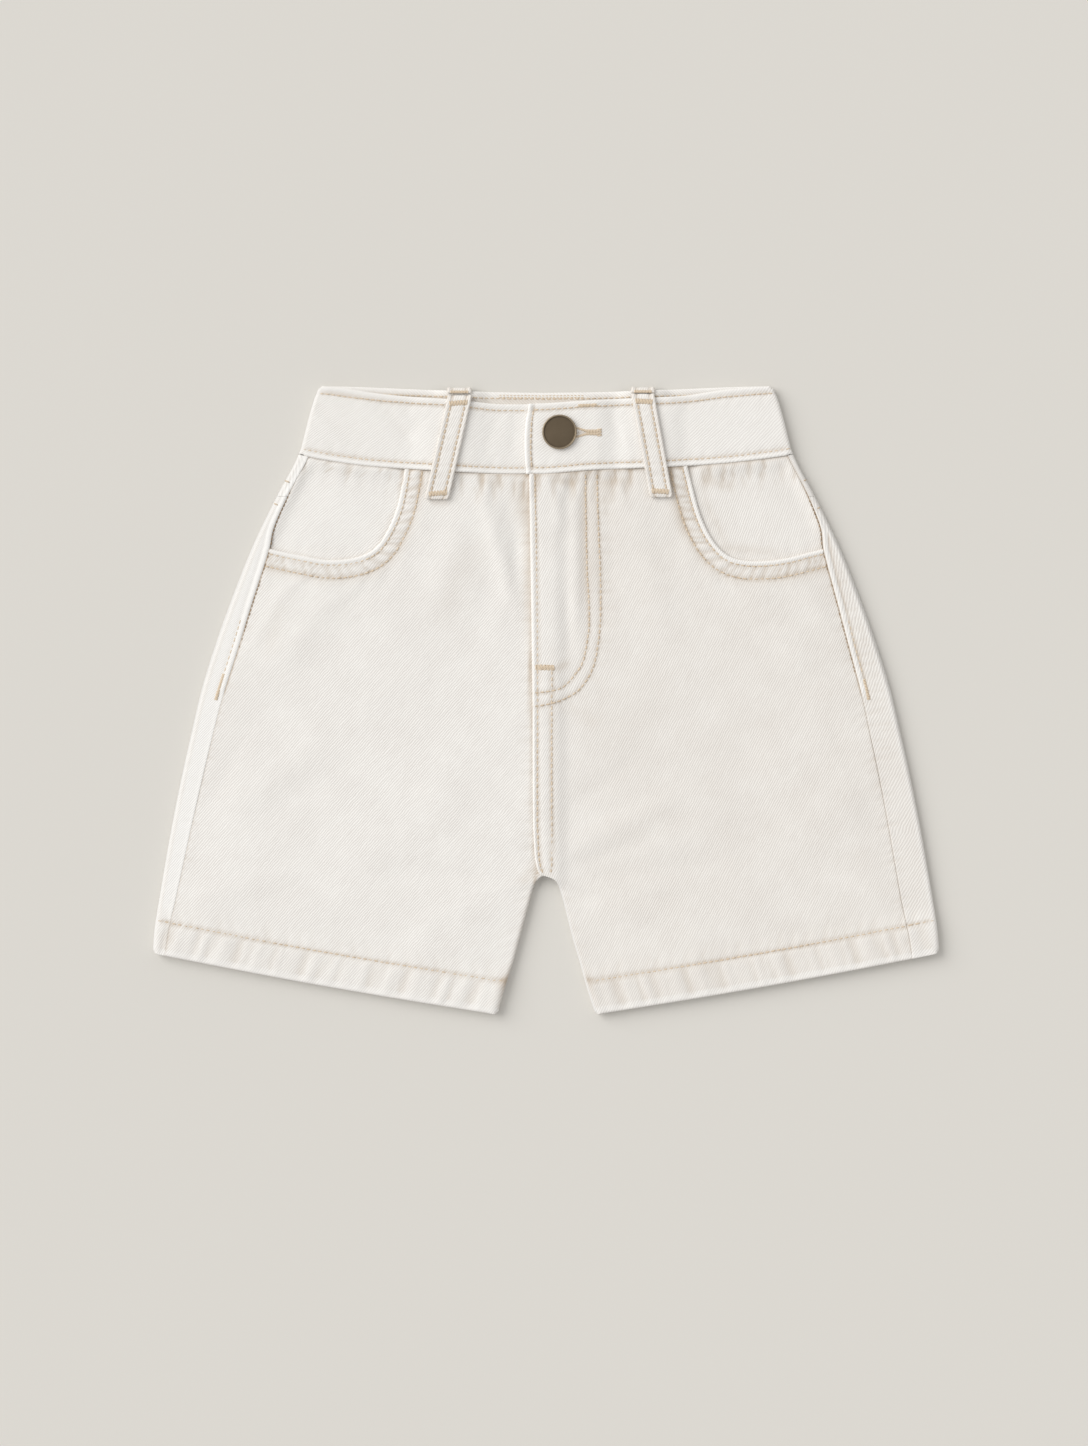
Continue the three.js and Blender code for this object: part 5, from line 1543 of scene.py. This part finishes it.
def sine_wave(tree, place, width):
    """Sine wave from 0 to 1 along a coordinate, with the given width from crest to crest."""
    phase = math_node(tree, "MULTIPLY", math_node(tree, "DIVIDE", place, width), 2 * math.pi)
    return scaled(tree, math_node(tree, "SINE", phase), 0.5, 0.5)


def noise(tree, vector, scale, detail=2.0, roughness=0.5):
    """Cloudy noise from 0 to 1, with so many cells to a metre."""
    node = tree.nodes.new("ShaderNodeTexNoise")
    fill(tree, [node.inputs[name] for name in ("Vector", "Scale", "Detail", "Roughness")],
         (vector, scale, detail, roughness))
    return node.outputs["Fac"]


def mix_colour(tree, factor, a, b):
    """Blend of two colours."""
    node = tree.nodes.new("ShaderNodeMix")
    node.data_type = "RGBA"
    fill(tree, (node.inputs[0], node.inputs[6], node.inputs[7]), (factor, a, b))
    return node.outputs[2]


def mapping(tree, vector, location=(0.0, 0.0, 0.0), scale=(1.0, 1.0, 1.0)):
    """A vector times a scale, plus a location."""
    node = tree.nodes.new("ShaderNodeMapping")
    fill(tree, [node.inputs[name] for name in ("Vector", "Location", "Scale")], (vector, location, scale))
    return node.outputs[0]


def attribute(tree, name):
    """The number that a mesh carries at each point under a name."""
    node = tree.nodes.new("ShaderNodeAttribute")
    node.attribute_name = name
    return node.outputs["Fac"]


def object_place(tree):
    """Place on the object, in metres."""
    return tree.nodes.new("ShaderNodeTexCoord").outputs["Object"]


def new_group(name, inputs, outputs):
    """Shader node group with float or vector inputs and float outputs, and its two end nodes."""
    group = bpy.data.node_groups.new(name, "ShaderNodeTree")
    for label, default in inputs:
        kind = "NodeSocketVector" if default is None else "NodeSocketFloat"
        socket = group.interface.new_socket(label, in_out="INPUT", socket_type=kind)
        if default is not None:
            socket.default_value = default
    for label in outputs:
        group.interface.new_socket(label, in_out="OUTPUT", socket_type="NodeSocketFloat")
    return group, group.nodes.new("NodeGroupInput").outputs, group.nodes.new("NodeGroupOutput").inputs


def twill_group():
    """Diagonal twill from weave coordinates in metres: ridges across v broken by yarns along u.
    Height is the relief, Wale the dark line between ridges, Slub the uneven yarns."""
    group, start, end = new_group(
        "Twill weave", [("Weave", None), ("Wale width", 0.0012), ("Yarn width", 0.00062)],
        ["Height", "Wale", "Slub"])
    weave, wale_width, yarn_width = start[0], start[1], start[2]
    drift = noise(group, weave, 260.0)
    split = group.nodes.new("ShaderNodeSeparateXYZ")
    fill(group, split.inputs, [weave])
    u, v = split.outputs[0], split.outputs[1]
    ridge = sine_wave(group, scaled(group, math_node(group, "SUBTRACT", drift, 0.5), 0.0011, v), wale_width)
    yarn = sine_wave(group, scaled(group, v, 0.6, u), yarn_width)
    gap = math_node(group, "POWER", math_node(group, "SUBTRACT", 1.0, ridge), 2.2)
    slub = noise(group, mapping(group, weave, scale=(0.16, 1.0, 1.0)), 620.0, 3.0, 0.6)
    fill(group, end, (scaled(group, yarn, 0.35, ridge), gap, slub))
    return group


def fuzz_group():
    """Soft cotton surface: fine fibre noise for relief, and large faint patches for colour."""
    group, start, end = new_group("Cotton fuzz", [("Place", None)], ["Fibre", "Patch", "Cloud"])
    sizes = (2600.0, 2.0, 0.7), (55.0, 3.0, 0.55), (14.0, 2.0, 0.5)
    fill(group, end, [noise(group, start[0], *size) for size in sizes])
    return group


def use_group(tree, group, place):
    """Outputs of a group placed in a material, with its first input."""
    node = tree.nodes.new("ShaderNodeGroup")
    node.node_tree = group
    fill(tree, node.inputs, [place])
    return node.outputs


# Materials

def new_material(name, **values):
    """Material with the given values on its shader's own sockets, named with _ for a space."""
    material = bpy.data.materials.new(name)
    material.use_nodes = True
    shader = material.node_tree.nodes["Principled BSDF"]
    for label, value in values.items():
        shader.inputs[label.replace("_", " ")].default_value = value
    return material, material.node_tree, shader


def finish_surface(tree, shader, colour, height=None, distance=0.0, strength=0.0):
    """Colour of a surface, and its relief in metres from a height of about 0 to 1."""
    fill(tree, [shader.inputs["Base Color"]], [colour])
    if height:
        node = tree.nodes.new("ShaderNodeBump")
        fill(tree, [node.inputs[name] for name in ("Height", "Distance", "Strength")],
             (height, distance, strength))
        fill(tree, [shader.inputs["Normal"]], [node.outputs[0]])


def denim_material():
    """Undyed twill: cream ridges, faintly tan hollows, and from the tint the tan of painted shade with some
    dirt at seams and puckers, painted highlight, and painted shade on the folds that face the light.
    """
    material, tree, shader = new_material(
        "Cream denim", Roughness=0.92, Sheen_Weight=0.15, Sheen_Roughness=0.5)
    weave_map = tree.nodes.new("ShaderNodeUVMap")
    weave_map.uv_map = "weave"
    height, wale, slub = use_group(tree, twill_group(), weave_map.outputs[0])
    fibre, patches, cloud = use_group(tree, fuzz_group(), object_place(tree))

    wear_and_fold_shade = scaled(tree, patches, 1.1, -0.2)
    lines = math_node(tree, "MULTIPLY", wale, scaled(tree, wear_and_fold_shade, 1.15, 0.44))
    colour = mix_colour(tree, kept(tree, lines, 0.0, 1.0), CREAM, SHADE)
    streaks = math_node(tree, "MAXIMUM", scaled(tree, slub, 0.9, -0.38), 0.0)
    colour = mix_colour(tree, streaks, colour, SHADE)
    warm = math_node(tree, "MAXIMUM", scaled(tree, cloud, 1.0, -0.38), 0.0)
    colour = mix_colour(tree, warm, colour, tuple(0.5 * (a + b) for a, b in zip(CREAM, SHADE)))
    # The tint: above 0 the tan of painted shade with some dirt, below 0 painted highlight; then painted shade
    # on the folds that face the light
    tint_amount = math_node(tree, "MULTIPLY", attribute(tree, "tint"), scaled(tree, patches, 0.7, 0.6))
    colour = mix_colour(tree, kept(tree, tint_amount, 0.0, 0.85), colour, SHADE_AND_DIRT_TAN)
    highlight_amount = kept(tree, math_node(tree, "MULTIPLY", tint_amount, -1.0), 0.0, 0.9)
    colour = mix_colour(tree, highlight_amount, colour, PAINTED_HIGHLIGHT)
    colour = mix_colour(tree, attribute(tree, "fold_shade"), colour, FOLD_SHADE_COLOUR)
    relief = scaled(tree, slub, 0.6, scaled(tree, fibre, 0.5, height))
    finish_surface(tree, shader, colour, relief, 0.00016, 0.6)
    return material


def thread_material(name, dark, light):
    """Tan cotton thread with a fine twist, with painted shade at each end where the stitch goes down into its
    hole.
    """
    material, tree, shader = new_material(name, Roughness=0.7)
    place = object_place(tree)
    twist = noise(tree, place, 1400.0)
    patches = noise(tree, place, 60.0)
    shade = scaled(tree, attribute(tree, "tint"), 0.9, scaled(tree, twist, 0.5, -0.25))
    shade = math_node(tree, "ADD", shade, scaled(tree, patches, -0.5, 0.25))
    colour = mix_colour(tree, kept(tree, shade, 0.0, 1.0), light, dark)
    finish_surface(tree, shader, colour, twist, 0.0001, 0.4)
    return material


def button_material():
    """Antiqued metal: dark bronze, lighter on the rim where it wears, with faint brushing."""
    material, tree, shader = new_material("Antiqued button metal", Metallic=0.6)
    place = object_place(tree)
    grain = noise(tree, place, 900.0, 3.0, 0.6)
    patches = noise(tree, place, 180.0, 3.0, 0.6)
    reach = tree.nodes.new("ShaderNodeVectorMath")
    reach.operation = "LENGTH"
    centred = mapping(tree, place, (-BUTTON_X * MM, -BUTTON_Y * MM, 0.0), (1.0, 1.0, 0.0))
    fill(tree, reach.inputs, [centred])
    rim = scaled(tree, reach.outputs["Value"], 1 / (0.35 * MM), -(BUTTON_RADIUS - 1.1) / 0.35)
    rim = math_node(tree, "MULTIPLY", rim, scaled(tree, patches, 0.9, 0.25))
    colour = mix_colour(tree, patches, (0.118, 0.088, 0.055), (0.16, 0.122, 0.079))
    colour = mix_colour(tree, kept(tree, rim, 0.0, 0.85), colour, (0.34, 0.275, 0.195))
    fill(tree, [shader.inputs["Roughness"]], [scaled(tree, grain, 0.25, 0.32)])
    finish_surface(tree, shader, colour, grain, 0.00005, 0.3)
    return material


def floor_material():
    """Plain greige with very faint clouds."""
    material, tree, shader = new_material("Pale greige floor", Roughness=0.95)
    patches = noise(tree, object_place(tree), 3.0)
    finish_surface(tree, shader, mix_colour(tree, patches, (0.705, 0.689, 0.653), (0.715, 0.699, 0.663)))
    return material


# Setting

def make_floor():
    """A square just under the part."""
    mesh = bpy.data.meshes.new("floor")
    size = FLOOR_HALF
    corners = [(-size, -size, 0), (size, -size, 0), (size, size, 0), (-size, size, 0)]
    mesh.from_pydata(corners, [], [(0, 1, 2, 3)])
    floor = bpy.data.objects.new("floor", mesh)
    bpy.context.collection.objects.link(floor)
    floor.location = (0, 0, -FLOOR_DROP)
    floor.data.materials.append(floor_material())


def make_camera():
    """Straight above, far back with a long lens: the lens is the sensor times distance over frame."""
    pixel = PHOTO_PIXEL * MM
    camera = bpy.data.cameras.new("camera")
    camera.sensor_width = SENSOR
    camera.lens = SENSOR * CAMERA_HEIGHT / (PHOTO_HEIGHT * pixel)
    eye = bpy.data.objects.new("camera", camera)
    eye.location = (VIEW_CENTRE[0] * pixel, VIEW_CENTRE[1] * pixel, CAMERA_HEIGHT)
    bpy.context.collection.objects.link(eye)
    bpy.context.scene.camera = eye


def make_light():
    """A wide key light from the upper left, the same everywhere, and pale fill from all round."""
    light = bpy.data.lights.new("window", "SUN")
    light.energy = 2.12
    light.angle = 0.85
    light.color = (1.0, 0.985, 0.96)
    lamp = bpy.data.objects.new("window", light)
    lamp.location = SUN_FROM
    x, y, z = SUN_FROM
    lamp.rotation_euler = (math.atan2(math.hypot(x, y), z), 0, math.atan2(-y, -x) - math.pi / 2)
    bpy.context.collection.objects.link(lamp)
    world = bpy.data.worlds.new("studio")
    world.use_nodes = True
    background = world.node_tree.nodes["Background"]
    background.inputs[0].default_value = (1.0, 0.985, 0.965, 1)
    background.inputs[1].default_value = 0.605
    bpy.context.scene.world = world
    bpy.context.scene.view_settings.view_transform = "Standard"


# Making

make_camera()
make_light()
make_floor()
denim = denim_material()
thread = thread_material("Topstitch thread", (0.40, 0.28, 0.17), (0.74, 0.62, 0.475))
# The topstitch thread again in darker colours: painted shade on the row down in the side seams
shaded_seam_thread = thread_material("Shaded seam thread", (0.22, 0.15, 0.09), (0.36, 0.26, 0.17))

cloth_pieces = [make_waistband()]
for side in SIDES:
    back_x, back_width = BACK_LOOPS[side]
    cloth_pieces += [
        make_front(side),
        make_facing(side),
        make_back(f"back_{side}", side, YOKE_LINE, HEM_LINE, BACK_SPACING),
        make_back(f"back_yoke_{side}", side, WAIST_LINE, YOKE_LINE, YOKE_SPACING),
        make_loop(f"belt_loop_front_{side}", front_loop_path(side), LOOPS[side]["width"],
                  lambda y: front_loop_x(side, y), True, 0),
        make_loop(f"belt_loop_back_{side}", back_loop_path(side), back_width,
                  lambda y: 0 * y + back_x, False, 9),
    ]
for piece in cloth_pieces:
    piece.data.materials.append(denim)

for piece in (sew_front(), sew_band(), sew_buttonhole(), sew_loops(), sew_underside()):
    piece.data.materials.append(thread)
sew_seams().data.materials.append(shaded_seam_thread)
make_button().data.materials.append(button_material())
